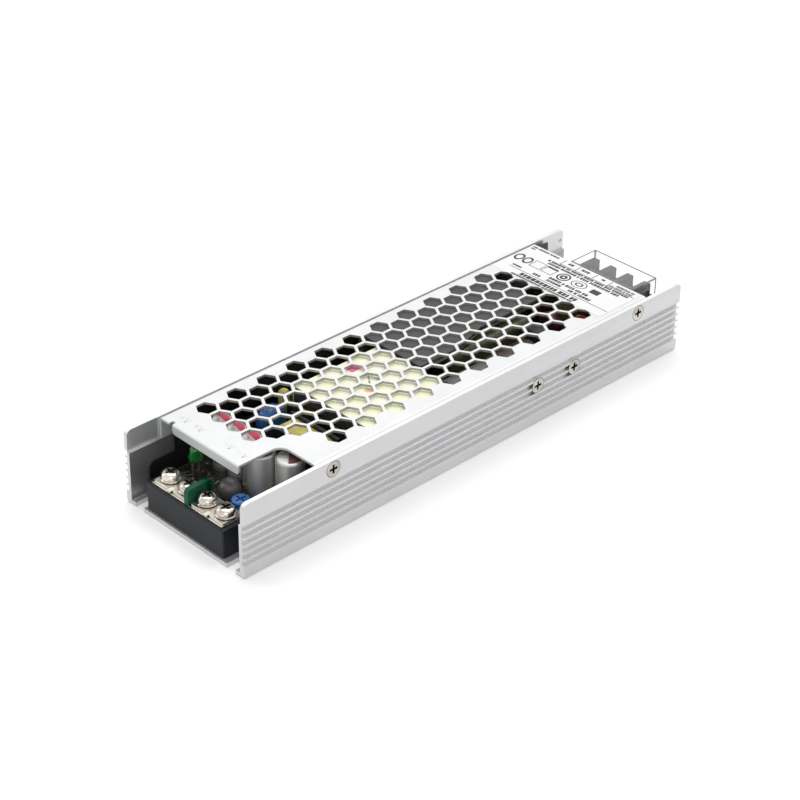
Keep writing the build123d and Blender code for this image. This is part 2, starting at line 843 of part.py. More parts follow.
save(standing_cans([(dome_x, dome_y)], dome_radius, dome_top, dome_rim), "dome_capacitor")
save(standing_cans(small_cans, small_can_radius, small_can_top, small_can_rim),
     "small_output_capacitors")
save(standing_cans(large_cans, large_can_radius, large_can_top, large_can_rim),
     "large_output_capacitors")


def leaded_disc(x, y, radius, thickness, top, turn):
    """Dipped disc on edge on two leads: turn 0 faces it along Y, turn 90 faces it along X."""
    middle = top - radius
    with BuildPart() as disc:
        with Locations(Location((x, y, middle), (0, 0, turn))):
            Cylinder(radius, thickness, rotation=(90, 0, 0))
        fillet(disc.edges().filter_by(GeomType.CIRCLE), thickness * disc_edge_share)
        with Locations(Location((x, y, board_top), (0, 0, turn))):
            with Locations((-disc_lead_pitch / 2, 0), (disc_lead_pitch / 2, 0)):
                Cylinder(disc_lead_radius, middle - board_top, align=centre_low)
    return disc


for disc_name, disc_sizes in {
        "suppression_capacitor": (disc_x, disc_y, disc_radius, disc_thickness, disc_top, 90),
        "surge_varistor": (varistor_x, varistor_y, varistor_radius, varistor_thickness,
                           varistor_top, 0),
        "inrush_thermistor": (thermistor_x, thermistor_y, thermistor_radius,
                              thermistor_thickness, thermistor_top, 0)}.items():
    save(leaded_disc(*disc_sizes), disc_name)

# Output choke: a black bobbin with two flanges and a taped winding between them
choke_middle = (choke_left + choke_right) / 2
choke_width = choke_right - choke_left
winding_height = choke_top - choke_flange_rise - board_top
winding_middle = board_top + winding_height / 2
with BuildPart() as output_choke_bobbin:
    for flange_y in (choke_front - choke_flange_thickness, choke_rear):
        with BuildSketch(across(flange_y)):
            with Locations((choke_middle, board_top)):
                Rectangle(choke_width, choke_top - board_top, align=centre_min)
        extrude(amount=-choke_flange_thickness)
    with BuildSketch(across(choke_front)):
        with Locations((choke_middle, winding_middle)):
            Rectangle(choke_width / 2, winding_height / 2)
    extrude(amount=-(choke_rear - choke_front))
save(output_choke_bobbin, "output_choke_bobbin")

with BuildPart() as output_choke_winding:
    with BuildSketch(across(choke_front + slip)):
        with Locations((choke_middle, winding_middle)):
            RectangleRounded(choke_width - 2 * slip, winding_height - 2 * slip, choke_round)
            Rectangle(choke_width / 2 + 2 * slip, winding_height / 2 + 2 * slip, mode=Mode.SUBTRACT)
    extrude(amount=-(choke_rear - choke_front - 2 * slip))
save(output_choke_winding, "output_choke_winding")

# Main transformer
transformer_x = (transformer_left + transformer_right) / 2
transformer_length = transformer_rear - transformer_front
transformer_middle = (transformer_bottom + parts_top) / 2
core_width = transformer_width - 2 * tape_thickness - 2 * slip
core_height = parts_top - transformer_bottom - 2 * tape_thickness - 2 * slip
window_x = core_width / 4

with BuildPart() as transformer_core:
    with BuildSketch(across(transformer_front)):
        with Locations((transformer_x, transformer_middle)):
            Rectangle(core_width, core_height)
            with Locations((-window_x, 0), (window_x, 0)):
                Rectangle(core_window, core_window_height, mode=Mode.SUBTRACT)
    extrude(amount=-transformer_length)
save(transformer_core, "transformer_core")

with BuildPart() as transformer_winding:
    with BuildSketch(across(transformer_front - tape_thickness)):
        with Locations((transformer_x, transformer_middle)):
            with Locations((-window_x, 0), (window_x, 0)):
                Rectangle(core_window - 2 * slip, core_window_height - 2 * slip)
    extrude(amount=-(transformer_length + 2 * tape_thickness))
save(transformer_winding, "transformer_winding")

with BuildPart() as transformer_tape:
    with BuildSketch(across(transformer_front)):
        with Locations((transformer_x, transformer_middle)):
            RectangleRounded(transformer_width, parts_top - transformer_bottom, tape_round / 2)
            Rectangle(core_width + 2 * slip, core_height + 2 * slip, mode=Mode.SUBTRACT)
    extrude(amount=-transformer_length)
save(transformer_tape, "transformer_tape")

with BuildPart() as transformer_feet:
    foot_height = transformer_bottom - board_top
    with BuildSketch(level(board_top)):
        for foot_y in (transformer_front + transformer_foot_inset,
                       transformer_rear - transformer_foot_inset):
            with Locations((transformer_x, foot_y)):
                Rectangle(transformer_width - 2 * transformer_foot_inset, transformer_foot_width)
    extrude(amount=foot_height)
save(transformer_feet, "transformer_feet")

with BuildPart() as taped_lead:
    with Locations((taped_lead_x, taped_lead_y, board_top)):
        Cylinder(taped_lead_radius, parts_top - board_top - 1, align=centre_low)
    fillet(taped_lead.edges().group_by(Axis.Z)[-1], taped_lead_radius * 0.7)
save(taped_lead, "taped_lead")

# Upright boards
with BuildPart() as rectifier_board:
    with BuildSketch(across(rectifier_board_y)):
        with Locations((rectifier_board_left, board_top)):
            Rectangle(rectifier_board_right - rectifier_board_left, rectifier_board_top - board_top,
                      align=low_corner)
    extrude(amount=-upright_board_thickness)
save(rectifier_board, "rectifier_board")

with BuildPart() as control_board:
    with BuildSketch(along(control_board_x)):
        with Locations((control_board_front, board_top)):
            Rectangle(control_board_rear - control_board_front, upright_board_top - board_top,
                      align=low_corner)
    extrude(amount=upright_board_thickness)
save(control_board, "control_board")

# Heat spreader: a folded aluminium plate whose foot stands on the board, and the pad on top of it
spreader_top = cover_under - pad_thickness


def pad_outline(margin):
    """Outline of the pad, drawn in by a margin, as the points of a closed polyline."""
    return [(pad_left + margin, pad_front + margin), (pad_right_front - margin, pad_front + margin),
            (pad_right_front - margin, pad_bend_front), (pad_right_rear - margin, pad_bend_rear),
            (pad_right_rear - margin, pad_rear - margin), (pad_left + margin, pad_rear - margin)]


with BuildPart() as heat_spreader:
    with BuildSketch(level(spreader_top)):
        with BuildLine():
            Polyline(*pad_outline(spreader_margin), close=True)
        make_face()
    extrude(amount=-spreader_thickness)
    with BuildSketch(along(pad_left + spreader_margin)):
        with Locations((pad_front + spreader_margin, board_top)):
            Rectangle(pad_rear - pad_front - 2 * spreader_margin, spreader_top - board_top,
                      align=low_corner)
    extrude(amount=spreader_thickness)
save(heat_spreader, "heat_spreader")

with BuildPart() as thermal_pad:
    with BuildSketch(level(spreader_top)):
        with BuildLine():
            Polyline(*pad_outline(0), close=True)
        make_face()
    extrude(amount=pad_thickness)
save(thermal_pad, "thermal_pad")


# Line-side parts
def lying_can(x, front, rear, radius):
    """Can that lies on the board along Y, with a crimped groove near its front end."""
    middle = board_top + seat_gap + radius
    with BuildPart() as can:
        with BuildSketch(across(front)):
            with Locations((x, middle)):
                Circle(radius)
        extrude(amount=-(rear - front))
        fillet(can.edges().filter_by(GeomType.CIRCLE), large_can_rim)
        with BuildSketch(across(front + can_groove_height)):
            with Locations((x, middle)):
                Circle(radius + can_groove_depth)
                Circle(radius - can_groove_depth, mode=Mode.SUBTRACT)
        extrude(amount=-can_groove_depth * 2, mode=Mode.SUBTRACT)
    return can


save(lying_can(bulk_can_x, bulk_can_front, bulk_can_rear, bulk_can_radius), "bulk_capacitor")
save(lying_can(small_bulk_x, small_bulk_front, small_bulk_rear, small_bulk_radius),
     "second_bulk_capacitor")


def board_block(left, right, front, rear, top, rounding):
    """Moulded block that stands on the board, with rounded upright and top edges."""
    with BuildPart() as block:
        with BuildSketch(level(board_top)):
            with Locations((left, front)):
                Rectangle(right - left, rear - front, align=low_corner)
        extrude(amount=top - board_top)
        fillet(block.edges().filter_by(Axis.Z), rounding)
        fillet(block.edges().group_by(Axis.Z)[-1], rounding * 0.9)
    return block


for block_name, block_sizes in {
        "boost_choke": (boost_choke_left, boost_choke_right, boost_choke_front, boost_choke_rear,
                        boost_choke_top, tape_round),
        "resonant_choke": (resonant_left, resonant_right, resonant_front, resonant_rear,
                           resonant_top, block_round),
        "standby_transformer": (standby_left, standby_right, standby_front, standby_rear, standby_top,
                                block_round),
        "line_capacitor": (line_capacitor_left, line_capacitor_right, line_capacitor_front,
                           line_capacitor_rear, line_capacitor_top, block_round)}.items():
    save(board_block(*block_sizes), block_name)

with BuildPart() as bridge_rectifier:
    with BuildSketch(across(bridge_front)):
        with Locations((bridge_left, board_top + bridge_lead_height)):
            Rectangle(bridge_right - bridge_left, bridge_top - board_top - bridge_lead_height,
                      align=low_corner)
    extrude(amount=-bridge_thickness)
    chamfer(bridge_rectifier.edges().group_by(Axis.Z)[-1], bridge_chamfer)
    with BuildSketch(level(board_top)):
        with Locations(((bridge_left + bridge_right) / 2, bridge_front + bridge_thickness / 2)):
            with GridLocations(transistor_lead_pitch, 1, bridge_lead_count, 1):
                Rectangle(transistor_lead_width, transistor_lead_thickness)
    extrude(amount=bridge_lead_height)
save(bridge_rectifier, "bridge_rectifier")

filter_core_radius = filter_choke_outer - filter_wire_radius * 2
filter_choke_middle = board_top + filter_core_radius + 2 * seat_gap
with BuildPart() as filter_choke_core:
    with BuildSketch(across(filter_choke_y - filter_choke_thickness / 2)):
        with Locations((filter_choke_x, filter_choke_middle)):
            Circle(filter_core_radius)
            Circle(filter_choke_inner, mode=Mode.SUBTRACT)
    extrude(amount=-filter_choke_thickness)
save(filter_choke_core, "filter_choke_core")

ring_middle = (filter_choke_inner + filter_core_radius) / 2
ring_width = filter_core_radius - filter_choke_inner
with BuildPart() as filter_choke_windings:
    for side in (0, 180):
        for turn in range(filter_turns):
            angle = radians(side + (turn - (filter_turns - 1) / 2) * filter_turn_angle)
            with BuildSketch(Plane(origin=(filter_choke_x, filter_choke_y, filter_choke_middle),
                                   x_dir=(cos(angle), 0, sin(angle)),
                                   z_dir=(-sin(angle), 0, cos(angle)))):
                with Locations((ring_middle, 0)):
                    Rectangle(ring_width + 3 * filter_wire_radius,
                              filter_choke_thickness + 3 * filter_wire_radius)
                    Rectangle(ring_width + 4 * slip, filter_choke_thickness + 2 * slip,
                              mode=Mode.SUBTRACT)
            extrude(amount=filter_wire_radius, both=True)
save(filter_choke_windings, "filter_choke_windings")

with BuildPart() as line_fuse:
    with BuildSketch(across(fuse_front)):
        with Locations((fuse_x, fuse_middle)):
            Circle(fuse_radius)
    extrude(amount=-(fuse_rear - fuse_front))
    for band_y in (fuse_front, fuse_rear - fuse_cap_length):
        with BuildSketch(across(band_y)):
            with Locations((fuse_x, board_top)):
                Rectangle(2 * (fuse_radius + fuse_clip_sheet), fuse_middle - board_top,
                          align=centre_min)
            with Locations((fuse_x, fuse_middle)):
                Circle(fuse_radius + fuse_clip_sheet)
        extrude(amount=-fuse_cap_length)
save(line_fuse, "line_fuse")

# Power transistors: tabs flat on the lined wall, each pulled to it by a clamp screw and nut
transistor_x = flap_x - sheet_thickness - transistor_thickness
with BuildPart() as power_transistors:
    for y in clamp_screw_ys:
        with BuildSketch(along(transistor_x)) as transistor_face:
            with Locations((y, transistor_bottom)):
                Rectangle(transistor_width, transistor_height, align=centre_min)
            with Locations((y, clamp_screw_height)):
                Circle(screw_radius + 2 * slip, mode=Mode.SUBTRACT)
        extrude(amount=transistor_thickness)
        with BuildSketch(level(board_top)):
            with Locations((transistor_x + transistor_thickness / 2, y)):
                with GridLocations(1, transistor_lead_pitch, 1, transistor_lead_count):
                    Rectangle(transistor_lead_thickness, transistor_lead_width)
        extrude(amount=transistor_bottom - board_top)
save(power_transistors, "power_transistors")

with BuildPart() as clamp_nuts:
    for y in clamp_screw_ys:
        with BuildSketch(along(transistor_x)):
            with Locations((y, clamp_screw_height)):
                RegularPolygon(clamp_nut_side / 2, 6, major_radius=False)
                Circle(screw_radius + slip / 2, mode=Mode.SUBTRACT)
        extrude(amount=-clamp_nut_thickness)
save(clamp_nuts, "clamp_nuts")

# Input terminal block: a base with upright barriers, contacts and screws
input_base_top = board_top + input_base_height
input_barrier_xs = [input_left + pole * input_pole_pitch for pole in range(input_pole_count + 1)]
input_pole_xs = [x + (input_pole_pitch + input_barrier) / 2 for x in input_barrier_xs[:-1]]
input_screw_y = input_front + input_spine + (input_rear - input_front - input_spine) * input_screw_share
input_bay = input_pole_pitch - input_barrier
pin_length = flap_sheet + flap_side_gap

with BuildPart() as input_block:
    with BuildSketch(level(board_top)):
        with Locations((input_left, input_front)):
            Rectangle(input_width, input_rear - input_front, align=low_corner)
    extrude(amount=input_base_height)
    # Spine towards the cover, and the barriers between the poles
    with BuildSketch(level(board_top)):
        with Locations((input_left, input_front)):
            Rectangle(input_width, input_spine, align=low_corner)
        for x in input_barrier_xs:
            with Locations((x, input_front)):
                Rectangle(input_barrier, input_rear - input_front, align=low_corner)
    extrude(amount=input_barrier_top - board_top)
    chamfer(input_block.edges().filter_by(Axis.X).group_by(Axis.Y)[-1].group_by(Axis.Z)[-1],
            barrier_chamfer)
    # Screw wells
    with Locations(*[(x, input_screw_y, input_base_top) for x in input_pole_xs]):
        Hole(input_screw_radius + 2 * slip, depth=input_well_depth)
    # Hinge pins of the clear cover
    with Locations(*[side_plane(side, abs(x), flap_hinge_y, flap_hinge_z)
                     for side, x in ((-1, input_left), (1, input_left + input_width))]):
        Cylinder(flap_pin_radius, pin_length, align=centre_low)
save(input_block, "input_block")

with BuildPart() as input_contacts:
    with BuildSketch(level(input_base_top)):
        for x in input_pole_xs:
            with Locations((x, input_front + input_spine + slip)):
                Rectangle(input_bay - 2 * slip, input_rear - input_front - input_spine - 2 * slip,
                          align=centre_min)
            with Locations((x, input_screw_y)):
                Circle(input_screw_radius + slip, mode=Mode.SUBTRACT)
    extrude(amount=contact_thickness)
save(input_contacts, "input_contacts")

with BuildPart() as input_screws:
    input_screw = pan_screw(input_screw_head_radius, input_screw_head_height, input_screw_radius,
                            input_well_depth)
    with Locations(*[(x, input_screw_y, input_base_top + contact_thickness) for x in input_pole_xs]):
        add(input_screw)
save(input_screws, "input_screws")

# Clear cover of the input block: top, rear skirt and two ears that turn on the block's pins
flap_inner_left = input_left - flap_side_gap
flap_inner_right = input_left + input_width + flap_side_gap
with BuildPart() as input_cover:
    with BuildSketch(level(flap_top_height)):
        with Locations((flap_inner_left - flap_sheet, flap_front)):
            Rectangle(flap_inner_right - flap_inner_left + 2 * flap_sheet, flap_rear - flap_front,
                      align=low_corner)
    extrude(amount=-flap_sheet)
    with BuildSketch(across(flap_rear - flap_sheet)):
        with Locations((flap_inner_left - flap_sheet, flap_skirt_bottom)):
            Rectangle(flap_inner_right - flap_inner_left + 2 * flap_sheet,
                      flap_top_height - flap_skirt_bottom, align=low_corner)
    extrude(amount=-flap_sheet)
    ear_reach = flap_hinge_y - flap_front
    for ear_x in (flap_inner_left - flap_sheet, flap_inner_right):
        with BuildSketch(along(ear_x)):
            with Locations((flap_front, flap_hinge_z)):
                Rectangle(flap_rear - flap_front, flap_top_height - flap_hinge_z, align=low_corner)
            with Locations((flap_hinge_y, flap_hinge_z)):
                Circle(ear_reach)
                Circle(flap_pin_radius + flap_pin_fit, mode=Mode.SUBTRACT)
        extrude(amount=flap_sheet)
save(input_cover, "input_cover")
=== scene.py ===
import logging
import math
from dataclasses import dataclass
from enum import Enum
from typing import ClassVar, Sequence, Union

import bmesh
import bpy
import numpy as np
from mathutils import Matrix, Vector


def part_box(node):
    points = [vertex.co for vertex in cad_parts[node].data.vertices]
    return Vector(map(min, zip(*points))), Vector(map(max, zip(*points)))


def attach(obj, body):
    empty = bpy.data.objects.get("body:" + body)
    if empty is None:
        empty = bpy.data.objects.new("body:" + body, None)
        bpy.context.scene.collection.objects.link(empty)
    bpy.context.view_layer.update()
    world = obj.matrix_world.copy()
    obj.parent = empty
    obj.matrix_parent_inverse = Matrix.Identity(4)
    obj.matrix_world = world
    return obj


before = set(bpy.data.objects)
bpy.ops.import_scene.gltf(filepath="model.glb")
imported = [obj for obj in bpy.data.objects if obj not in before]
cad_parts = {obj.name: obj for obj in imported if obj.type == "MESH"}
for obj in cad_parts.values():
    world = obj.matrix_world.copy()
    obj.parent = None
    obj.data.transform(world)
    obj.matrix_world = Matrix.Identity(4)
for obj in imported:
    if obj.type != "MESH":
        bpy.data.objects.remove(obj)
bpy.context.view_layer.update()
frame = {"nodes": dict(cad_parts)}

LOG = logging.getLogger("slim_power_supply")
MM = 0.001
METRE_MM = 1000.0
MERGE_M = 1e-7
CASE_BODY = "case"

Colour = tuple[float, float, float]
Bar = tuple[float, float, float, float]
Mesh = tuple[np.ndarray, np.ndarray]
Number = Union[float, "Field"]


class Grain(Enum):
    """How the fine marks of a surface run."""

    ALONG_CASE = (1.0, 0.02, 1.0)
    ACROSS_CASE = (0.02, 1.0, 1.0)
    EVEN = (1.0, 1.0, 1.0)


class Field:
    """One socket of a node tree, on which arithmetic adds Math nodes."""

    def __init__(self, graph: "Graph", socket: bpy.types.NodeSocket) -> None:
        """Wrap an output socket of a node tree."""
        self.graph = graph
        self.socket = socket

    def _math(self, operation: str, first: Number, second: Number = 0.0) -> "Field":
        """Add one Math node."""
        return self.graph.add("ShaderNodeMath", {"operation": operation}, {0: first, 1: second})

    def __add__(self, other: Number) -> "Field":
        """Sum of two values."""
        return self._math("ADD", self, other)

    def __sub__(self, other: Number) -> "Field":
        """Difference of two values."""
        return self._math("SUBTRACT", self, other)

    def __mul__(self, other: Number) -> "Field":
        """Product of two values."""
        return self._math("MULTIPLY", self, other)

    def __truediv__(self, other: Number) -> "Field":
        """Quotient of two values."""
        return self._math("DIVIDE", self, other)

    def __radd__(self, other: float) -> "Field":
        """Sum with a number on the left."""
        return self._math("ADD", other, self)

    def __rsub__(self, other: float) -> "Field":
        """Number less this value."""
        return self._math("SUBTRACT", other, self)

    def __rmul__(self, other: float) -> "Field":
        """Product with a number on the left."""
        return self._math("MULTIPLY", other, self)

    def __abs__(self) -> "Field":
        """Size of the value without its sign."""
        return self._math("ABSOLUTE", self)

    def fraction(self) -> "Field":
        """Part of the value after the decimal point."""
        return self._math("FRACT", self)

    def larger(self, other: Number) -> "Field":
        """The larger of two values."""
        return self._math("MAXIMUM", self, other)

    def smaller(self, other: Number) -> "Field":
        """The smaller of two values."""
        return self._math("MINIMUM", self, other)

    def step(self, low: float, high: float) -> "Field":
        """Smooth step from 0 at a low value to 1 at a high one."""
        return self.graph.add("ShaderNodeMapRange", {"interpolation_type": "SMOOTHSTEP"},
                              {"Value": self, "From Min": low, "From Max": high})

    def above(self, edge: float, width: float) -> "Field":
        """Smooth step from 0 at an edge to 1 at a width past it."""
        return self.step(edge, edge + width)

    def sway(self, amount: float) -> "Field":
        """Noise about 0.5 moved to be about 0 and scaled to an amount."""
        return (self - 0.5) * amount


class Graph:
    """The node tree of a material or a world, which grows by one method."""

    def __init__(self, tree: bpy.types.NodeTree) -> None:
        """Empty the tree that is to be filled."""
        self.tree = tree
        self.tree.nodes.clear()

    def put(self, socket: bpy.types.NodeSocket, value: object) -> None:
        """Link a field into a socket, or set the socket's own value."""
        if isinstance(value, Field):
            self.tree.links.new(value.socket, socket)
        elif isinstance(value, (tuple, list)) and socket.type == "RGBA":
            socket.default_value = (*value[:3], 1.0)
        else:
            socket.default_value = value

    def add(self, kind: str, settings: dict[str, object] | None = None,
            sockets: dict[int | str, object] | None = None, out: int | str = 0) -> Field:
        """Add a node.

        Args:
            kind: The node's type.
            settings: Its properties, set before its sockets.
            sockets: The values or fields of its input sockets.
            out: The output socket to return.

        Returns:
            The chosen output as a field.
        """
        node = self.tree.nodes.new(kind)
        for key, value in (settings or {}).items():
            setattr(node, key, value)
        for key, value in (sockets or {}).items():
            self.put(node.inputs[key], value)
        return Field(self, node.outputs[out])

    def end(self, kind: str, result: Field) -> None:
        """Feed a result to an output node of a given type."""
        self.put(self.tree.nodes.new(kind).inputs[0], result)

    def parts(self, vector: Field) -> tuple[Field, Field, Field]:
        """The three parts of a vector."""
        outputs = self.add("ShaderNodeSeparateXYZ", {}, {0: vector}).socket.node.outputs
        return tuple(Field(self, output) for output in outputs)

    def seen(self) -> Field:
        """1 to the camera, to gloss and to glass, and 0 to all other light."""
        rays = self.add("ShaderNodeLightPath").socket.node.outputs
        camera, gloss, glass = (Field(self, rays[f"Is {kind} Ray"])
                                for kind in ("Camera", "Glossy", "Transmission"))
        return camera.larger(gloss).larger(glass)


class Shader(Graph):
    """One material: its nodes, and the Principled surface that they feed."""

    edge_step: ClassVar[tuple[float, float]] = (0.01, 0.16)
    open_step: ClassVar[tuple[float, float]] = (0.12, 0.85)

    def __init__(self, name: str) -> None:
        """Start an empty material.

        Args:
            name: The material's name.
        """
        self.material = bpy.data.materials.new(name)
        self.material.use_nodes = True
        super().__init__(self.material.node_tree)
        result = self.add("ShaderNodeBsdfPrincipled")
        self.surface = result.socket.node
        self.end("ShaderNodeOutputMaterial", result)

    def place(self, stretch: Sequence[float] = (1.0, 1.0, 1.0)) -> Field:
        """Object coordinates, each axis times a factor."""
        coordinates = self.add("ShaderNodeTexCoord", out="Object")
        return self.add("ShaderNodeVectorMath", {"operation": "MULTIPLY"},
                        {0: coordinates, 1: tuple(stretch)})

    def axes(self) -> tuple[Field, Field, Field]:
        """The three Object coordinates in millimetres."""
        return self.parts(self.place((METRE_MM,) * 3))

    def facing(self) -> tuple[Field, Field, Field]:
        """The three parts of the true normal."""
        return self.parts(self.add("ShaderNodeNewGeometry", out="True Normal"))

    def turned(self, blend: float) -> Field:
        """Layer Weight: how far the surface turns away from the eye."""
        return self.add("ShaderNodeLayerWeight", {}, {"Blend": blend}, "Facing")

    def noise(self, size_mm: float, detail: float = 3.0, grain: Grain = Grain.EVEN) -> Field:
        """Noise about 0.5, with features of a given size that are drawn out as the grain says."""
        return self.add("ShaderNodeTexNoise", {}, {"Vector": self.place(grain.value),
                                                   "Scale": METRE_MM / size_mm, "Detail": detail})

    def cells(self, size_mm: float, distance: str = "EUCLIDEAN") -> Field:
        """Distance to the nearest of scattered points about a given size apart in millimetres."""
        return self.add("ShaderNodeTexVoronoi", {"feature": "F1", "distance": distance},
                        {"Vector": self.place(), "Scale": METRE_MM / size_mm}, "Distance")

    def blend(self, factor: Number, first: object, second: object) -> Field:
        """Mix two colours by a factor from 0 to 1."""
        return self.add("ShaderNodeMix", {"data_type": "RGBA"},
                        {0: factor, 6: first, 7: second}, 2)

    def wear(self, radius_mm: float) -> Field:
        """Normal rounded over the edges by a radius in millimetres."""
        return self.add("ShaderNodeBevel", {"samples": 4}, {"Radius": radius_mm * MM})

    def edges(self, radius_mm: float) -> Field:
        """Mask of the edges: 1 less the product of the true normal and the rounded one."""
        true_normal = self.add("ShaderNodeNewGeometry", out="True Normal")
        along = self.add("ShaderNodeVectorMath", {"operation": "DOT_PRODUCT"},
                         {0: self.wear(radius_mm), 1: true_normal}, "Value")
        return (1.0 - along).step(*self.edge_step)

    def recess_shade_mask(self, reach_mm: float) -> Field:
        """Mask of painted shade in recesses and gaps, from how much of the sky within a reach is hidden."""
        open_share = self.add("ShaderNodeAmbientOcclusion", {"samples": 8},
                              {"Distance": reach_mm * MM}, "AO")
        return 1.0 - open_share.step(*self.open_step)

    def finish(self, base: object, roughness: Number, height: Field | None = None,
               depth_mm: float = 0.02, edge_mm: float = 0.0, **constants: object) -> bpy.types.Material:
        """Feed the Principled surface.

        Args:
            base: The colour, or a field of it.
            roughness: The roughness, or a field of it.
            height: A field from 0 to 1 for the bump.
            depth_mm: The depth of that bump in millimetres.
            edge_mm: The radius by which edges look rounded.
            constants: Other sockets by name, with underscores for spaces.

        Returns:
            The finished material.
        """
        self.put(self.surface.inputs["Base Color"], base)
        self.put(self.surface.inputs["Roughness"], roughness)
        normal = self.wear(edge_mm) if edge_mm else None
        if height is not None:
            sockets = {"Height": height, "Distance": depth_mm * MM, "Strength": 1.0}
            if normal is not None:
                sockets["Normal"] = normal
            normal = self.add("ShaderNodeBump", {}, sockets)
        if normal is not None:
            self.put(self.surface.inputs["Normal"], normal)
        for key, value in constants.items():
            self.put(self.surface.inputs[key.replace("_", " ")], value)
        return self.material


@dataclass(frozen=True)
class Finish:
    """A surface finish; each kind paints its own material."""

    name: str
    colour: Colour

    def tint(self, factor: float, lift: float = 0.0) -> Colour:
        """The colour times a factor, raised by a little and kept within 1."""
        return tuple(min(1.0, channel * factor + lift) for channel in self.colour)

    def paint(self, shader: Shader) -> bpy.types.Material:
        """Fill the material; each kind of finish has its own way."""
        raise NotImplementedError


@dataclass(frozen=True)
class Metal(Finish):
    """Bare, plated or anodised metal with fine directional marks."""

    roughness: float = 0.35
    metallic: float = 0.9
    grain: Grain = Grain.ALONG_CASE
    grain_mm: float = 0.25
    depth_mm: float = 0.004
    cloud: float = 0.06
    edge_mm: float = 0.12
    # Painted shade in recesses: how far it reaches and how dark it is.
    recess_shade_mm: float = 0.0
    recess_shade_dark: float = 0.9
    # Painted shade along the edges: its radius and how dark it is.
    edge_shade_mm: float = 0.0
    edge_shade_dark: float = 0.8
    shade: ClassVar[Colour] = (0.02, 0.018, 0.015)
    broad_factor: ClassVar[float] = 9.0
    cloud_mm: ClassVar[float] = 22.0

    def tone(self, shader: Shader, base: Field) -> Field:
        """Change the colour from place to place; plain metal keeps it."""
        return base

    def paint(self, shader: Shader) -> bpy.types.Material:
        """Streaks of two widths vary the roughness and the height, a slow cloud the colour; painted shade
        darkens recesses and edges where the finish asks for it.
        """
        streak = shader.noise(self.grain_mm, grain=self.grain)
        broad = shader.noise(self.grain_mm * self.broad_factor, 2.0, self.grain)
        slow = shader.noise(self.cloud_mm, 2.0)
        dark = self.tint(1.0 - self.cloud)
        base = shader.blend((slow * 0.6 + broad * 0.4).step(0.35, 0.65), dark, self.colour)
        base = self.tone(shader, base)
        # Painted shade: recesses and gaps found by ambient occlusion are darkened towards the shade colour.
        if self.recess_shade_mm:
            base = shader.blend(shader.recess_shade_mask(self.recess_shade_mm) * self.recess_shade_dark, base, self.shade)
        # Painted shade: a dark line is laid along the edges.
        if self.edge_shade_mm:
            base = shader.blend(shader.edges(self.edge_shade_mm) * self.edge_shade_dark, base, self.shade)
        rough = self.roughness + streak.sway(0.22) + slow.sway(0.12)
        return shader.finish(base, rough, streak, self.depth_mm, self.edge_mm, Metallic=self.metallic)


@dataclass(frozen=True)
class CaseMetal(Metal):
    """Extruded aluminium: brushed outside, its inner faces darker below the step as painted shade, its
    grooves a grey of painted shade above ledges whitened by painted highlight.
    """

    # Painted shade below the step and lighter colour above it, on the inner faces.
    inner_shade_low: Colour = (0.34, 0.345, 0.34)
    inner_lit_high: Colour = (0.68, 0.68, 0.68)
    # Painted shade for the groove faces behind the outer faces.
    groove_shade: Colour = (0.57, 0.57, 0.58)
    # Painted highlight for the faces that look up.
    ledge_highlight: Colour = (0.99, 0.99, 0.99)
    outer_mm: float = 26.3
    groove_face_mm: float = 27.4
    floor_mm: float = 1.6
    ribs_low: float = 2.8
    ribs_high: float = 18.9
    step_mm: float = 18.5
    # Painted highlight on the top edges of the walls: where it starts and how strong it is.
    top_highlight_low: float = 25.2
    top_highlight_share: float = 0.45
    turned_in: tuple[float, float] = (5.0, 15.0)
    level: tuple[float, float] = (0.2, 0.6)

    def tone(self, shader: Shader, base: Field) -> Field:
        """Inner faces turn towards the middle and take painted shade below the step; grooves lie behind the
        outer faces and take painted shade; ledges and the top edges face up and take painted highlight.
        """
        across, _, up = shader.axes()
        turn, _, rise = shader.facing()
        inward = (across * turn * -1.0).step(*self.turned_in)
        outside = abs(across).above(self.outer_mm, 0.1) * (1.0 - inward)
        outside = outside * up.above(self.ribs_low, 0.2) * (1.0 - up.above(self.ribs_high, 0.1))
        behind = 1.0 - abs(across).above(self.groove_face_mm - 0.1, 0.1)
        # Painted highlight: up-facing ledges in the ribbed band turn near white, the top edges of the walls
        # in part.
        ledge_highlight = rise.step(*self.level)
        # Painted shade: the groove faces take a darker grey.
        base = shader.blend(outside * behind, base, self.groove_shade)
        rim = ledge_highlight * up.above(self.top_highlight_low, 0.4) * self.top_highlight_share
        base = shader.blend((outside * ledge_highlight).larger(rim), base, self.ledge_highlight)
        # Painted shade: the inner faces are darker below the step and lighter above it.
        inner = shader.blend(up.above(self.step_mm - 0.2, 0.2), self.inner_shade_low, self.inner_lit_high)
        return shader.blend(inward * up.above(self.floor_mm, 0.3), base, inner)


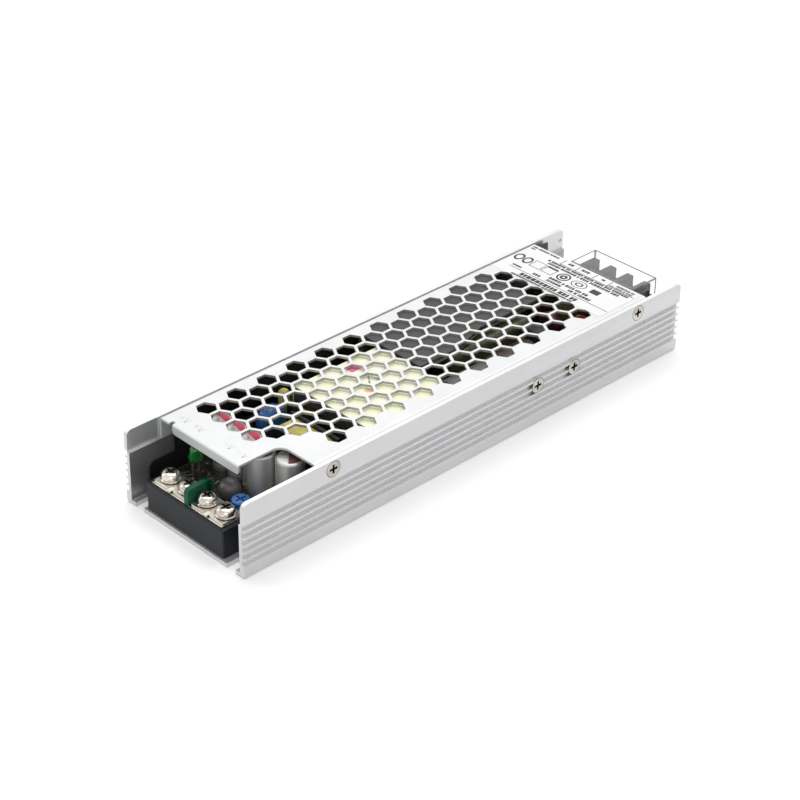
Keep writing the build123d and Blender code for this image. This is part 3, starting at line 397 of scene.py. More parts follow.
@dataclass(frozen=True)
class CoverMetal(Metal):
    """Coated sheet: pale on top, greyed by painted shade where it folds down, darkened by painted shade in
    the walls of its vents.
    """

    # Painted shade for the sheet where it folds down.
    fold_shade: Colour = (0.52, 0.55, 0.54)
    # Painted shade for the upright walls of the vents.
    vent_wall_shade: Colour = (0.40, 0.40, 0.35)
    vents_start: float = -75.8
    vents_half: float = 24.5
    cutout: tuple[float, float] = (9.0, -67.0)
    fold: tuple[float, float] = (25.15, 25.8)
    level: tuple[float, float] = (0.3, 0.5)
    blur_mm: float = 0.2

    def tone(self, shader: Shader, base: Field) -> Field:
        """The fold is told by the height and takes painted shade; vent walls stand upright away from the
        cut-out and take a darker painted shade.
        """
        across, along, up = shader.axes()
        # Painted shade: the sheet below the top's height is greyed where it folds down.
        base = shader.blend(1.0 - up.step(*self.fold), base, self.fold_shade)
        upright = 1.0 - abs(shader.facing()[2]).step(*self.level)
        left, rear = self.cutout
        corner = across.above(left, self.blur_mm) * (1.0 - along.above(rear, self.blur_mm))
        vents = upright * along.above(self.vents_start, self.blur_mm) * (1.0 - corner)
        vents = vents * (1.0 - abs(across).above(self.vents_half, self.blur_mm))
        # Painted shade: the upright walls of the vents are darkened.
        return shader.blend(vents, base, self.vent_wall_shade)


@dataclass(frozen=True)
class Plastic(Finish):
    """Moulded plastic with a fine grained skin."""

    roughness: float = 0.45
    grain_mm: float = 0.35
    depth_mm: float = 0.01
    coat: float = 0.0
    edge_mm: float = 0.15
    gloss: float = 0.5

    def paint(self, shader: Shader) -> bpy.types.Material:
        """A fine even grain gives the skin, a slow cloud its flow marks."""
        fine = shader.noise(self.grain_mm)
        slow = shader.noise(7.0, 2.0)
        base = shader.blend(slow.step(0.3, 0.7), self.colour, self.tint(1.18, 0.004))
        rough = self.roughness + fine.sway(0.15) + slow.sway(0.12)
        return shader.finish(base, rough, fine, self.depth_mm, self.edge_mm, Coat_Weight=self.coat,
                             Coat_Roughness=0.08, Specular_IOR_Level=self.gloss)


@dataclass(frozen=True)
class Coating(Finish):
    """Dipped coat of a disc component: glossy, slightly uneven and specked."""

    speck: Colour = (0.85, 0.8, 0.75)
    speck_mm: float = 0.9

    def paint(self, shader: Shader) -> bpy.types.Material:
        """Soft waves in the height, and small pale specks."""
        wave = shader.noise(2.4, 1.0)
        specks = 1.0 - shader.cells(self.speck_mm).step(0.03, 0.10)
        base = shader.blend(wave.step(0.35, 0.7), self.tint(0.72), self.colour)
        base = shader.blend(specks * 0.25, base, self.speck)
        return shader.finish(base, 0.22 + wave * 0.15, wave, 0.25, Coat_Weight=0.35)


@dataclass(frozen=True)
class Tape(Finish):
    """Polyester tape wound in overlapping turns, with wrinkles and shining edges."""

    turn_mm: float = 9.0
    gloss: float = 0.28
    bend_mm: float = 2.2

    def paint(self, shader: Shader) -> bpy.types.Material:
        """Turns are steps along the case, bent by noise, with painted shade at the foot of each step;
        wrinkles are drawn-out noise.
        """
        line = shader.axes()[1] + shader.noise(14.0, 1.0) * self.bend_mm
        turn = (line / self.turn_mm).fraction()
        edge = 1.0 - turn.step(0.0, 0.05)
        wrinkle = shader.noise(1.6, grain=Grain.ACROSS_CASE)
        slow = shader.noise(6.0, 2.0)
        base = shader.blend(slow.step(0.3, 0.7), self.colour, self.tint(1.12, 0.02))
        # Painted shade: a dark line at the foot of each turn's step.
        base = shader.blend(edge * 0.5, base, self.tint(0.55))
        height = turn * 0.55 + wrinkle * 0.45
        return shader.finish(base, self.gloss + wrinkle * 0.2, height, 0.16, Coat_Weight=0.3,
                             Coat_Roughness=0.12)


@dataclass(frozen=True)
class Sleeve(Finish):
    """Shrink sleeve of a capacitor, with a pale stripe and a crinkled skin."""

    stripe: Colour = (0.5, 0.5, 0.48)
    stripe_low: float = 2.0
    stripe_high: float = 2.0

    def paint(self, shader: Shader) -> bpy.types.Material:
        """The stripe is a band of heights; the skin's crinkles are noise."""
        up = shader.axes()[2]
        band = up.above(self.stripe_low - 0.1, 0.1) * (1.0 - up.above(self.stripe_high, 0.1))
        crinkle = shader.noise(1.1, 4.0)
        base = shader.blend(shader.noise(5.0).step(0.35, 0.65), self.tint(0.75), self.colour)
        base = shader.blend(band, base, self.stripe)
        return shader.finish(base, 0.24 + crinkle * 0.2, crinkle, 0.12, Coat_Weight=0.25)


@dataclass(frozen=True)
class Board(Finish):
    """Circuit board: solder mask over copper tracks, with a resin edge and tinned dots."""

    track_mm: float = 2.2
    dots: bool = True
    rim: Colour = (0.10, 0.09, 0.06)
    gloss: float = 0.5
    dot_mm: float = 3.4
    tinned: Colour = (0.42, 0.42, 0.40)

    def paint(self, shader: Shader) -> bpy.types.Material:
        """Tracks follow the borders of square cells; dots are the middles of small cells."""
        cells = shader.cells(self.track_mm * 2.0, "CHEBYCHEV")
        track = (cells * 3.0).fraction().step(0.42, 0.5)
        dots = 1.0 - shader.cells(self.dot_mm).step(0.13, 0.17)
        mask = shader.noise(0.6)
        base = shader.blend(track, self.colour, self.tint(1.9, 0.008))
        if self.dots:
            base = shader.blend(dots, base, self.tinned)
        base = shader.blend(shader.edges(0.35) * 0.8, base, self.rim)
        return shader.finish(base, 0.3 + mask * 0.12, track * 0.7 + dots * 0.3, 0.05, 0.05,
                             Coat_Weight=0.4 * self.gloss, Specular_IOR_Level=self.gloss)


@dataclass(frozen=True)
class Ferrite(Finish):
    """Pressed ferrite: dull grey with pits and ground faces."""

    def paint(self, shader: Shader) -> bpy.types.Material:
        """Small pits in a mottled grey."""
        pits = shader.cells(0.5).step(0.0, 0.25)
        mottle = shader.noise(1.5, 4.0)
        base = shader.blend(mottle.step(0.35, 0.7), self.colour, self.tint(1.5))
        return shader.finish(base, 0.5 + mottle * 0.2, pits, 0.03, 0.15, Metallic=0.15)


@dataclass(frozen=True)
class SoftPad(Finish):
    """Silicone pad with a fabric print in its skin."""

    weave_mm: float = 0.5

    def paint(self, shader: Shader) -> bpy.types.Material:
        """A fine square weave from two triangle waves, and a slow mottle."""
        across, along, _ = shader.axes()
        weave = (abs((across / self.weave_mm).fraction() - 0.5)
                 + abs((along / self.weave_mm).fraction() - 0.5))
        mottle = shader.noise(9.0)
        base = shader.blend(mottle.step(0.3, 0.7), self.colour, self.tint(1.2))
        return shader.finish(base, 0.62 + mottle * 0.15, weave, 0.03)


@dataclass(frozen=True)
class Film(Finish):
    """Smooth polyester film or printed paper."""

    roughness: float = 0.35

    def paint(self, shader: Shader) -> bpy.types.Material:
        """Slow waves where the film lifts, and a fine tooth."""
        wave = shader.noise(16.0, 1.0)
        tooth = shader.noise(0.3)
        base = shader.blend(wave.step(0.3, 0.7), self.tint(0.95), self.colour)
        return shader.finish(base, self.roughness + tooth * 0.1, wave + tooth * 0.05, 0.12)


@dataclass(frozen=True)
class Ink(Finish):
    """Printed ink with slightly broken coverage."""

    ground: Colour = (0.9, 0.9, 0.9)

    def paint(self, shader: Shader) -> bpy.types.Material:
        """Fine noise lets a little of the ground through."""
        broken = shader.noise(0.18).step(0.66, 0.78)
        base = shader.blend(broken * 0.25, self.colour, self.ground)
        return shader.finish(base, 0.5 + broken * 0.1, broken, 0.004)


@dataclass(frozen=True)
class Copper(Finish):
    """Enamelled winding wire laid turn beside turn."""

    wire_mm: float = 0.8

    def paint(self, shader: Shader) -> bpy.types.Material:
        """Round turns along Z, as a squared triangle wave, with painted shade in the crevices between turns.
        """
        turn = abs((shader.axes()[2] / self.wire_mm).fraction() - 0.5) * 2.0
        groove_shade = turn * turn
        # Painted shade: the crevices between turns are darkened.
        base = shader.blend(groove_shade, self.colour, self.tint(0.6))
        rough = 0.25 + shader.noise(4.0) * 0.1
        return shader.finish(base, rough, 1.0 - groove_shade, 0.2, Metallic=0.85, Coat_Weight=0.6)


@dataclass(frozen=True)
class Lens(Finish):
    """Tinted light-emitting diode, its rim lightened by a painted sheen, deep in its middle."""

    lead_top: float = 12.95
    lead: Colour = (0.55, 0.53, 0.48)

    def paint(self, shader: Shader) -> bpy.types.Material:
        """A painted sheen makes the rim lighter where the surface turns away; below the lens are tinned
        leads.
        """
        wave = shader.noise(1.2)
        # Painted sheen: the colour lightens where the surface turns away from the eye.
        base = shader.blend(shader.turned(0.35) * 0.5 + wave * 0.2, self.colour, self.tint(1.7, 0.03))
        low = 1.0 - shader.axes()[2].above(self.lead_top, 0.05)
        base = shader.blend(low, base, self.lead)
        return shader.finish(base, 0.12 + wave * 0.05 + low * 0.15, wave, 0.02, Metallic=low,
                             Coat_Weight=0.8 * (1.0 - low))


@dataclass(frozen=True)
class ClearPlastic(Finish):
    """Clear moulding: see-through, with a painted sheen where it turns away and dark painted edges for
    refraction.
    """

    node: str = "input_cover"
    veil: float = 0.05
    # Dark colour painted along the edges as the shade of refraction.
    edge: Colour = (0.05, 0.055, 0.06)
    line_mm: float = 0.5
    most_alpha: float = 0.95

    def paint(self, shader: Shader) -> bpy.types.Material:
        """Alpha grows as the surface turns away, a painted sheen of its pale colour, with faint flow marks,
        and along the edges, where a dark painted line stands for refraction.

        With a, b and c the depths below the sides of the moulding's box along the three axes, the
        middle one of the three is the distance to the nearest outer edge.
        """
        turned = shader.turned(0.5)
        flow = shader.noise(5.0, 2.0)
        first, second, third = ((axis - float(low)).smaller(float(high) - axis)
                                for axis, low, high in zip(shader.axes(), *box_mm(self.node)))
        nearest = first.smaller(second).larger(first.larger(second).smaller(third))
        # Painted shade: a dark line along the outer edges stands for the darkening by refraction.
        rim = 1.0 - nearest.step(self.line_mm - 0.1, self.line_mm + 0.1)
        # Painted sheen: the pale colour grows more opaque where the surface turns away.
        clear = self.veil + turned * turned * turned * turned * 0.5 + flow * 0.04
        base = shader.blend(rim * 0.9, self.colour, self.edge)
        return shader.finish(base, 0.06 + flow * 0.05, flow, 0.02, Coat_Weight=0.5,
                             Alpha=(clear + rim * 0.8).smaller(self.most_alpha))


CASE_METAL = CaseMetal("extruded_aluminium", (0.64, 0.64, 0.65), roughness=0.36, metallic=0.75,
                       grain_mm=0.3, depth_mm=0.005)
COVER_METAL = CoverMetal("coated_cover", (0.75, 0.755, 0.76), roughness=0.42, metallic=0.35,
                         grain=Grain.EVEN, grain_mm=0.5, depth_mm=0.006, cloud=0.05, edge_mm=0.1)
# Nickel, flush nickel and bright tin take painted shade in their recesses and along their edges.
NICKEL = Metal("nickel_plate", (0.76, 0.71, 0.63), roughness=0.16, metallic=1.0, grain=Grain.EVEN,
               grain_mm=0.4, depth_mm=0.006, cloud=0.35, edge_mm=0.12, recess_shade_mm=1.6,
               recess_shade_dark=0.62, edge_shade_mm=0.3, edge_shade_dark=0.85)
FLUSH_NICKEL = Metal("flush_nickel", (0.62, 0.59, 0.53), roughness=0.22, metallic=1.0,
                     grain=Grain.EVEN, grain_mm=0.5, depth_mm=0.008, cloud=0.35, edge_mm=0.1,
                     recess_shade_mm=1.2, edge_shade_mm=0.3, edge_shade_dark=0.95)
TIN = Metal("bright_tin", (0.78, 0.75, 0.69), roughness=0.26, metallic=1.0, grain=Grain.EVEN,
            grain_mm=2.0, depth_mm=0.010, cloud=0.2, edge_mm=0.1, recess_shade_mm=1.5, recess_shade_dark=0.75,
            edge_shade_mm=0.15, edge_shade_dark=0.5)
CAN_METAL = Metal("drawn_can", (0.60, 0.60, 0.575), roughness=0.5, metallic=0.8, grain=Grain.EVEN,
                  grain_mm=0.6, depth_mm=0.002, cloud=0.08, edge_mm=0.15)
SPREADER_METAL = Metal("plate_aluminium", (0.6, 0.6, 0.6), roughness=0.4, grain=Grain.ALONG_CASE)
BLACK_MOULDING = Plastic("black_moulding", (0.007, 0.009, 0.012), roughness=0.45, gloss=0.25)
DARK_PACKAGE = Plastic("moulded_package", (0.018, 0.018, 0.02), roughness=0.5, grain_mm=0.2)
BLUE_MOULDING = Plastic("blue_moulding", (0.03, 0.20, 0.62), roughness=0.2, coat=0.8)
YELLOW_MOULDING = Plastic("yellow_box", (0.16, 0.11, 0.012), roughness=0.3, coat=0.3)
BLUE_DIP = Coating("blue_dip", (0.03, 0.16, 0.50))
RED_DIP = Coating("red_dip", (0.80, 0.05, 0.015))
BROWN_DIP = Coating("brown_dip", (0.11, 0.022, 0.035))
OLIVE_TAPE = Tape("olive_tape", (0.56, 0.50, 0.11), turn_mm=5.5)
DARK_OLIVE_TAPE = Tape("dark_olive_tape", (0.075, 0.072, 0.03), turn_mm=6.5)
PALE_TAPE = Tape("pale_tape", (0.96, 0.96, 0.70), turn_mm=12.0, gloss=0.3)
GREY_SLEEVE = Sleeve("grey_sleeve", (0.20, 0.19, 0.185), (0.45, 0.43, 0.40), 13.0, 15.0)
BROWN_SLEEVE = Sleeve("brown_sleeve", (0.085, 0.05, 0.035), (0.35, 0.30, 0.22), 13.6, 14.6)
DARK_SLEEVE = Sleeve("dark_sleeve", (0.16, 0.155, 0.145), (0.3, 0.3, 0.3), 0.5, 1.0)
DARK_BOARD = Board("dark_board", (0.016, 0.015, 0.012))
GREEN_BOARD = Board("green_board", (0.002, 0.038, 0.019), track_mm=9.0, dots=False,
                    rim=(0.01, 0.26, 0.13), gloss=0.12)
FERRITE = Ferrite("pressed_ferrite", (0.05, 0.05, 0.052))
GREY_PAD = SoftPad("grey_pad", (0.058, 0.058, 0.060))
BLACK_FILM = Film("black_film", (0.012, 0.012, 0.014), roughness=0.25)
WHITE_FILM = Film("white_label", (0.86, 0.86, 0.865), roughness=0.4)
BLACK_INK = Ink("black_ink", (0.012, 0.012, 0.012))
GREY_INK = Ink("grey_ink", (0.42, 0.42, 0.42))
PALE_INK = Ink("pale_ink", (0.63, 0.63, 0.63), (0.75, 0.75, 0.75))
MAGENTA_INK = Ink("magenta_ink", (0.75, 0.16, 0.42), (0.8, 0.84, 0.56))
ORANGE_INK = Ink("orange_ink", (0.93, 0.52, 0.32), (0.8, 0.84, 0.56))
RED_INK = Ink("red_ink", (0.62, 0.03, 0.08), (0.8, 0.5, 0.5))
MAROON_INK = Ink("maroon_ink", (0.12, 0.04, 0.04), (0.3, 0.2, 0.2))
COPPER_WIRE = Copper("copper_wire", (0.20, 0.085, 0.03))
GREEN_LENS = Lens("green_lens", (0.004, 0.16, 0.02))
CLEAR_PLASTIC = ClearPlastic("clear_plastic", (0.95, 0.955, 0.96))


def in_scene(name: str, data: bpy.types.ID) -> bpy.types.Object:
    """Make an object of some data and link it into the scene."""
    made = bpy.data.objects.new(name, data)
    bpy.context.scene.collection.objects.link(made)
    return made


class Bench:
    """Where pieces are made: it keeps the materials and puts pieces on their bodies."""

    def __init__(self) -> None:
        """Start with no materials."""
        self.materials: dict[str, bpy.types.Material] = {}
        self.nodes: dict[str, bpy.types.Object] = frame["nodes"]

    def material(self, finish: Finish) -> bpy.types.Material:
        """Paint a finish once and return its material."""
        if finish.name not in self.materials:
            self.materials[finish.name] = finish.paint(Shader(finish.name))
        return self.materials[finish.name]

    def dress(self, finish: Finish, *names: str) -> None:
        """Give CAD nodes a finish.

        Args:
            finish: The finish to use.
            names: The nodes' names.
        """
        for name in names:
            materials = self.nodes[name].data.materials
            materials.clear()
            materials.append(self.material(finish))
            LOG.info("%s dressed in %s", name, finish.name)

    def piece(self, name: str, mesh: Mesh, finish: Finish, smooth: bool = True,
              closed: bool = True) -> None:
        """Make a new piece from arrays and put it on the case.

        Args:
            name: The piece's name.
            mesh: Its points in millimetres and its quads.
            finish: Its finish.
            smooth: Whether its faces are shaded smooth.
            closed: Whether it bounds a solid, so that its faces are turned outwards.
        """
        points, quads = mesh
        data = bpy.data.meshes.new(name)
        data.from_pydata((points * MM).tolist(), [], quads.tolist())
        work = bmesh.new()
        work.from_mesh(data)
        bmesh.ops.remove_doubles(work, verts=work.verts, dist=MERGE_M)
        if closed:
            bmesh.ops.recalc_face_normals(work, faces=work.faces)
        work.to_mesh(data)
        work.free()
        data.polygons.foreach_set("use_smooth", [smooth] * len(data.polygons))
        data.materials.append(self.material(finish))
        data.validate()
        data.update()
        made = in_scene(name, data)
        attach(made, CASE_BODY)
        LOG.info("%s made with %d faces in %s", name, len(data.polygons), finish.name)

    def film(self, name: str, mesh: Mesh, finish: Finish) -> None:
        """Make a piece that is an open, level sheet of print."""
        self.piece(name, mesh, finish, smooth=False, closed=False)


def grid_faces(rows: int, columns: int, wrap: bool = False) -> np.ndarray:
    """Corner numbers of the quads of a grid.

    Args:
        rows: How many points the first parameter has.
        columns: How many points the second parameter has.
        wrap: Whether the last column joins the first.

    Returns:
        An array of four corner numbers in each row.
    """
    row, column = np.meshgrid(np.arange(rows - 1), np.arange(columns if wrap else columns - 1),
                              indexing="ij")
    after = (column + 1) % columns
    corners = np.stack([row * columns + column, row * columns + after,
                        (row + 1) * columns + after, (row + 1) * columns + column], axis=-1)
    return corners.reshape(-1, 4)


def rounded_blocks(places: np.ndarray, sizes: np.ndarray, sharpness: float = 0.16,
                   rows: int = 10, columns: int = 20) -> Mesh:
    """Blocks with soft edges: superellipsoids of half sizes a, b, c.

    A point is a times sign-kept power of cos(v)cos(u), b of cos(v)sin(u) and c of sin(v), where the
    small power squares the ellipsoid off.

    Args:
        places: The blocks' middles in millimetres.
        sizes: Their full sizes in millimetres.
        sharpness: The power; smaller is squarer.
        rows: Points from pole to pole.
        columns: Points round the equator.

    Returns:
        The points and the quads.
    """
    rise = np.linspace(-math.pi / 2, math.pi / 2, rows)[:, None]
    turn = (np.linspace(0, 2 * math.pi, columns, endpoint=False) + math.pi / columns)[None, :]

    def squared(wave: np.ndarray) -> np.ndarray:
        """Sign-kept power of a wave."""
        return np.sign(wave) * np.abs(wave) ** sharpness

    unit = np.stack([squared(np.cos(rise)) * squared(np.cos(turn)),
                     squared(np.cos(rise)) * squared(np.sin(turn)),
                     squared(np.sin(rise)) * np.ones_like(turn)], axis=-1).reshape(-1, 3)
    points = unit[None] * sizes[:, None, :] / 2 + places[:, None, :]
    shift = np.arange(len(places))[:, None, None] * len(unit)
    return points.reshape(-1, 3), (grid_faces(rows, columns, wrap=True)[None] + shift).reshape(-1, 4)


def joined(meshes: Sequence[Mesh]) -> Mesh:
    """Several meshes as one."""
    points, faces, shift = [], [], 0
    for vertices, quads in meshes:
        points.append(vertices)
        faces.append(quads + shift)
        shift += len(vertices)
    return np.concatenate(points), np.concatenate(faces)


def flat_bars(bars: np.ndarray, height: float) -> Mesh:
    """Level rectangles that face up.

    Args:
        bars: Rows of left, right, front and rear in millimetres.
        height: Their height in millimetres.

    Returns:
        The points and the quads.
    """
    left, right, front, rear = bars.T
    level = np.full(len(bars), height)
    corners = np.stack([np.stack([x, y, level], -1) for x, y in (
        (left, front), (right, front), (right, rear), (left, rear))], 1)
    return corners.reshape(-1, 3), np.arange(len(bars) * 4).reshape(-1, 4)


def flat_ring(x: float, y: float, height: float, outer: float, inner: float,
              stretch: float = 1.0, sides: int = 40) -> Mesh:
    """Level ring that faces up: two ellipses, the outer and the inner, joined by quads."""
    angle = np.linspace(0, 2 * math.pi, sides, endpoint=False)
    rings = [np.stack([x + radius * stretch * np.cos(angle), y + radius * np.sin(angle),
                       np.full(sides, height)], -1) for radius in (inner, outer)]
    faces = grid_faces(2, sides, wrap=True)[:, ::-1]
    return np.concatenate(rings), faces


def box_mm(node: str) -> tuple[np.ndarray, np.ndarray]:
    """Lowest and highest corner of a CAD node in millimetres."""
    low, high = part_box(node)
    return np.array(low) / MM, np.array(high) / MM


@dataclass(frozen=True)
class Lamp:
    """Square softbox: its name, its place and width in metres, and its power in watts."""

    name: str
    place: tuple[float, float, float]
    width: float
    power: float


@dataclass
class Studio:
    """Camera, lamps, world and floor."""

    azimuth: float = 45.45
    elevation: float = 31.926
    roll: float = 0.977
    distance: float = 0.692935
    focal_pixels: float = 2178.402
    image_pixels: float = 800.0
    target: Sequence[float] = (0.001867, -0.009848, 0.013001)
    sensor_mm: float = 36.0
    clip: tuple[float, float] = (0.01, 50.0)
    floor_half: float = 4.0
    floor_drop_mm: float = 0.02
    floor_colour: Colour = (0.93, 0.93, 0.93)
    floor_glow: float = 0.16
    world_strength: float = 0.62
    lamps: Sequence[Lamp] = (Lamp("top_softbox", (-0.15, 0.25, 0.9), 0.9, 5.2),
                             Lamp("left_softbox", (-0.9, -0.5, 0.5), 0.6, 1.3),
                             Lamp("right_softbox", (0.8, -0.7, 0.35), 0.5, 1.2))

    def camera(self) -> None:
        """Set the camera at the photograph's angle, with its lens from the focal length in pixels."""
        turn, rise, roll = (math.radians(angle) for angle in (self.azimuth, self.elevation, self.roll))
        back = Vector((math.sin(turn) * math.cos(rise), -math.cos(turn) * math.cos(rise), math.sin(rise)))
        right = Vector((math.cos(turn), math.sin(turn), 0.0))
        up = back.cross(right)
        right_rolled = right * math.cos(roll) + up * math.sin(roll)
        up_rolled = up * math.cos(roll) - right * math.sin(roll)
        data = bpy.data.cameras.new("camera")
        data.sensor_width = self.sensor_mm
        data.lens = self.focal_pixels / self.image_pixels * self.sensor_mm
        data.clip_start, data.clip_end = self.clip
        place = Matrix((right_rolled, up_rolled, back)).transposed().to_4x4()
        place.translation = Vector(self.target) + back * self.distance
        camera = in_scene("camera", data)
        camera.matrix_world = place
        bpy.context.scene.camera = camera

    def light(self) -> None:
        """Hang the softboxes, each aimed at the object."""
        for lamp in self.lamps:
            data = bpy.data.lights.new(lamp.name, "AREA")
            data.shape, data.size, data.energy = "SQUARE", lamp.width, lamp.power
            hung = in_scene(lamp.name, data)
            hung.location = lamp.place
            aim = Vector(lamp.place) - Vector(self.target)
            hung.rotation_euler = aim.to_track_quat("Z", "Y").to_euler()

    def world(self) -> None:
        """White to the camera, to gloss and to glass, softer as a light."""
        world = bpy.data.worlds.new("world")
        bpy.context.scene.world = world
        world.use_nodes = True
        graph = Graph(world.node_tree)
        strength = graph.add("ShaderNodeMapRange", {}, {"Value": graph.seen(), "To Max": 1.0,
                                                        "To Min": self.world_strength})
        background = graph.add("ShaderNodeBackground", {}, {"Color": (1.0, 1.0, 1.0),
                                                            "Strength": strength})
        graph.end("ShaderNodeOutputWorld", background)

    def floor(self) -> None:
        """Lay a white floor that shows white away from the object's shadow."""
        shader = Shader("studio_floor")
        glow = shader.blend(shader.seen(), (0.0, 0.0, 0.0), (1.0, 1.0, 1.0))
        shader.finish(self.floor_colour, 0.9, Specular_IOR_Level=0.0, Emission_Color=glow,
                      Emission_Strength=self.floor_glow)
        half = self.floor_half / MM
        points, faces = flat_bars(np.array([[-half, half, -half, half]]), -self.floor_drop_mm)
        mesh = bpy.data.meshes.new("studio_floor")
        mesh.from_pydata((points * MM).tolist(), [], faces.tolist())
        mesh.materials.append(shader.material)
        floor = in_scene("studio_floor", mesh)

    def build(self) -> None:
        """Set the scene and the plain view transform."""
        bpy.context.scene.view_settings.view_transform = "Standard"
        self.camera()
        self.light()
        self.world()
        self.floor()


@dataclass
class Part:
    """Sub-assembly: the finishes of its CAD nodes, and the pieces that it adds to them."""

    finishes: ClassVar[dict[Finish, tuple[str, ...]]] = {}

    def add_pieces(self, bench: Bench) -> None:
        """Make the pieces that the CAD leaves out; a plain part has none."""

    def build(self, bench: Bench) -> None:
        """Dress the part's nodes, then make its pieces."""
        for finish, names in self.finishes.items():
            bench.dress(finish, *names)
        self.add_pieces(bench)


@dataclass
class Case(Part):
    """Chassis, cover, label, lining and screws, with the print on them."""

    film_lift: float = 0.006
    mark_size: float = 2.4
    mark_stroke: float = 0.42
    mark_places: Sequence[tuple[float, float]] = (
        (-19.3, -79.7), (-12.7, -79.7), (0.8, -79.5), (7.1, -79.5))
    plus_marks: int = 2
    sign_share: float = 0.6
    letter_shift: float = 0.8
    letter_spread: float = 0.7
    word_seed: int = 7
    letter_pitch: float = 0.95
    letter_width: tuple[float, float] = (0.45, 0.95)
    letter_gap: float = 0.14
    word_gap: float = 0.5
    word_end: float = 0.86
    frame_line: float = 0.28
    label_rows: Sequence[tuple[float, float, float, float]] = (
        (8.2, 39.0, 0.75, 1.0), (10.8, 39.4, 2.5, 1.9), (4.2, 9.6, 5.75, 1.0), (13.6, 17.4, 5.75, 1.2),
        (19.8, 27.6, 5.75, 1.25), (29.6, 39.8, 5.75, 1.3), (19.4, 39.6, 7.6, 1.35),
        (12.2, 48.2, 15.0, 1.25), (10.8, 48.2, 16.6, 1.2), (36.8, 48.0, 18.4, 0.9),
        (0.6, 3.6, 18.8, 0.8), (0.6, 14.8, 20.1, 1.0), (17.4, 20.8, 19.7, 1.3),
        (23.4, 28.0, 19.7, 1.3), (39.0, 47.8, 19.8, 1.0))
    label_rules: Sequence[tuple[float, float, float, float]] = (
        (4.2, 48.2, 4.1, 4.4), (15.2, 48.2, 17.4, 17.7), (15.15, 15.45, 17.6, 21.0),
        (21.75, 22.05, 17.6, 21.0), (29.35, 29.65, 17.6, 21.0), (36.15, 36.45, 17.6, 21.0),
        (32.4, 33.8, 19.2, 20.2), (13.7, 18.6, 12.6, 13.6), (35.0, 38.8, 9.8, 12.6))
    label_frames: Sequence[tuple[float, float, float, float]] = (
        (8.4, 13.2, 9.0, 13.6), (13.7, 18.6, 9.0, 13.6))
    label_rings: Sequence[tuple[float, float, float, float, float]] = (
        (22.6, 11.3, 2.6, 1.95, 1.0), (22.6, 11.3, 1.4, 0.5, 1.0), (29.6, 11.3, 2.35, 2.05, 1.35),
        (29.6, 11.3, 1.2, 0.7, 1.4), (2.3, 11.2, 2.4, 1.5, 0.75), (6.1, 11.2, 2.4, 1.5, 0.75))

    finishes: ClassVar = {
        CASE_METAL: ("chassis",), COVER_METAL: ("top_cover",), WHITE_FILM: ("rating_label",),
        BLACK_FILM: ("insulating_sheet",), FLUSH_NICKEL: ("cover_screws", "clamp_screws"),
        NICKEL: ("clamp_nuts",)}

    def words(self, left: float, right: float, middle: float, height: float,
              chance: np.random.RandomState) -> np.ndarray:
        """Row of short bars that stands for a line of print.

        Args:
            left: Where the row starts.
            right: Where it ends.
            middle: Its middle along the case.
            height: The bars' depth.
            chance: The source of the bars' lengths.

        Returns:
            Rows of left, right, front and rear.
        """
        count = int((right - left) / (height * self.letter_pitch))
        widths = chance.uniform(*self.letter_width, count) * height
        gaps = np.where(chance.uniform(size=count) > self.word_end, self.word_gap, self.letter_gap) * height
        starts = left + np.concatenate([[0.0], np.cumsum(widths + gaps)[:-1]])
        keep = starts + widths < right
        starts, widths = starts[keep], widths[keep]
        low = np.full(len(starts), middle - height / 2)
        return np.stack([starts, starts + widths, low, low + height], -1)

    def frames(self, outlines: np.ndarray) -> np.ndarray:
        """Four bars round each outline of left, right, front and rear."""
        left, right, front, rear = outlines.T
        line = self.frame_line
        return np.concatenate([np.stack(sides, -1) for sides in (
            [left, right, front, front + line], [left, right, rear - line, rear],
            [left, left + line, front, rear], [right - line, right, front, rear])])

    def label_print(self, bench: Bench) -> None:
        """Print the label: rows of bars, ruled lines, outlines and rings."""
        low, high = box_mm("rating_label")
        chance = np.random.RandomState(self.word_seed)
        top = high[2] + self.film_lift
        bars = [self.words(low[0] + left, low[0] + right, low[1] + middle, height, chance)
                for left, right, middle, height in self.label_rows]
        corner = np.array([low[0], low[0], low[1], low[1]])
        bars.append(np.array(self.label_rules) + corner)
        bars.append(self.frames(np.array(self.label_frames)) + corner)
        rings = [flat_ring(low[0] + x, low[1] + y, top, *sizes) for x, y, *sizes in self.label_rings]
        mesh = joined([flat_bars(np.concatenate(bars), top), *rings])
        bench.film("label_print", mesh, BLACK_INK)

    def terminal_marks(self, bench: Bench) -> None:
        """Print a plus or a minus sign and a V behind the lip, over each terminal."""
        top = box_mm("top_cover")[1][2] + self.film_lift
        half, stroke = self.mark_size / 2, self.mark_stroke / 2
        reach = half * self.sign_share
        bars, arms = [], []
        for number, (x, y) in enumerate(self.mark_places):
            sign = x - half - stroke
            tip = x + half * self.letter_shift
            bars.append([sign - reach, sign + reach, y - stroke, y + stroke])
            if number < self.plus_marks:
                bars.append([sign - stroke, sign + stroke, y - reach, y - stroke])
                bars.append([sign - stroke, sign + stroke, y + stroke, y + reach])
            for side in (-1, 1):
                foot = tip + side * half * self.letter_spread
                arms.append([[tip - stroke, y - half], [tip + stroke, y - half],
                             [foot + stroke, y + half], [foot - stroke, y + half]])
        corners = np.array(arms).reshape(-1, 2)
        corners = np.concatenate([corners, np.full((len(corners), 1), top)], -1)
        letters = (corners, np.arange(len(corners)).reshape(-1, 4))
        bench.film("terminal_marks", joined([flat_bars(np.array(bars), top), letters]), PALE_INK)

    def add_pieces(self, bench: Bench) -> None:
        """Add the case's print."""
        self.label_print(bench)
        self.terminal_marks(bench)


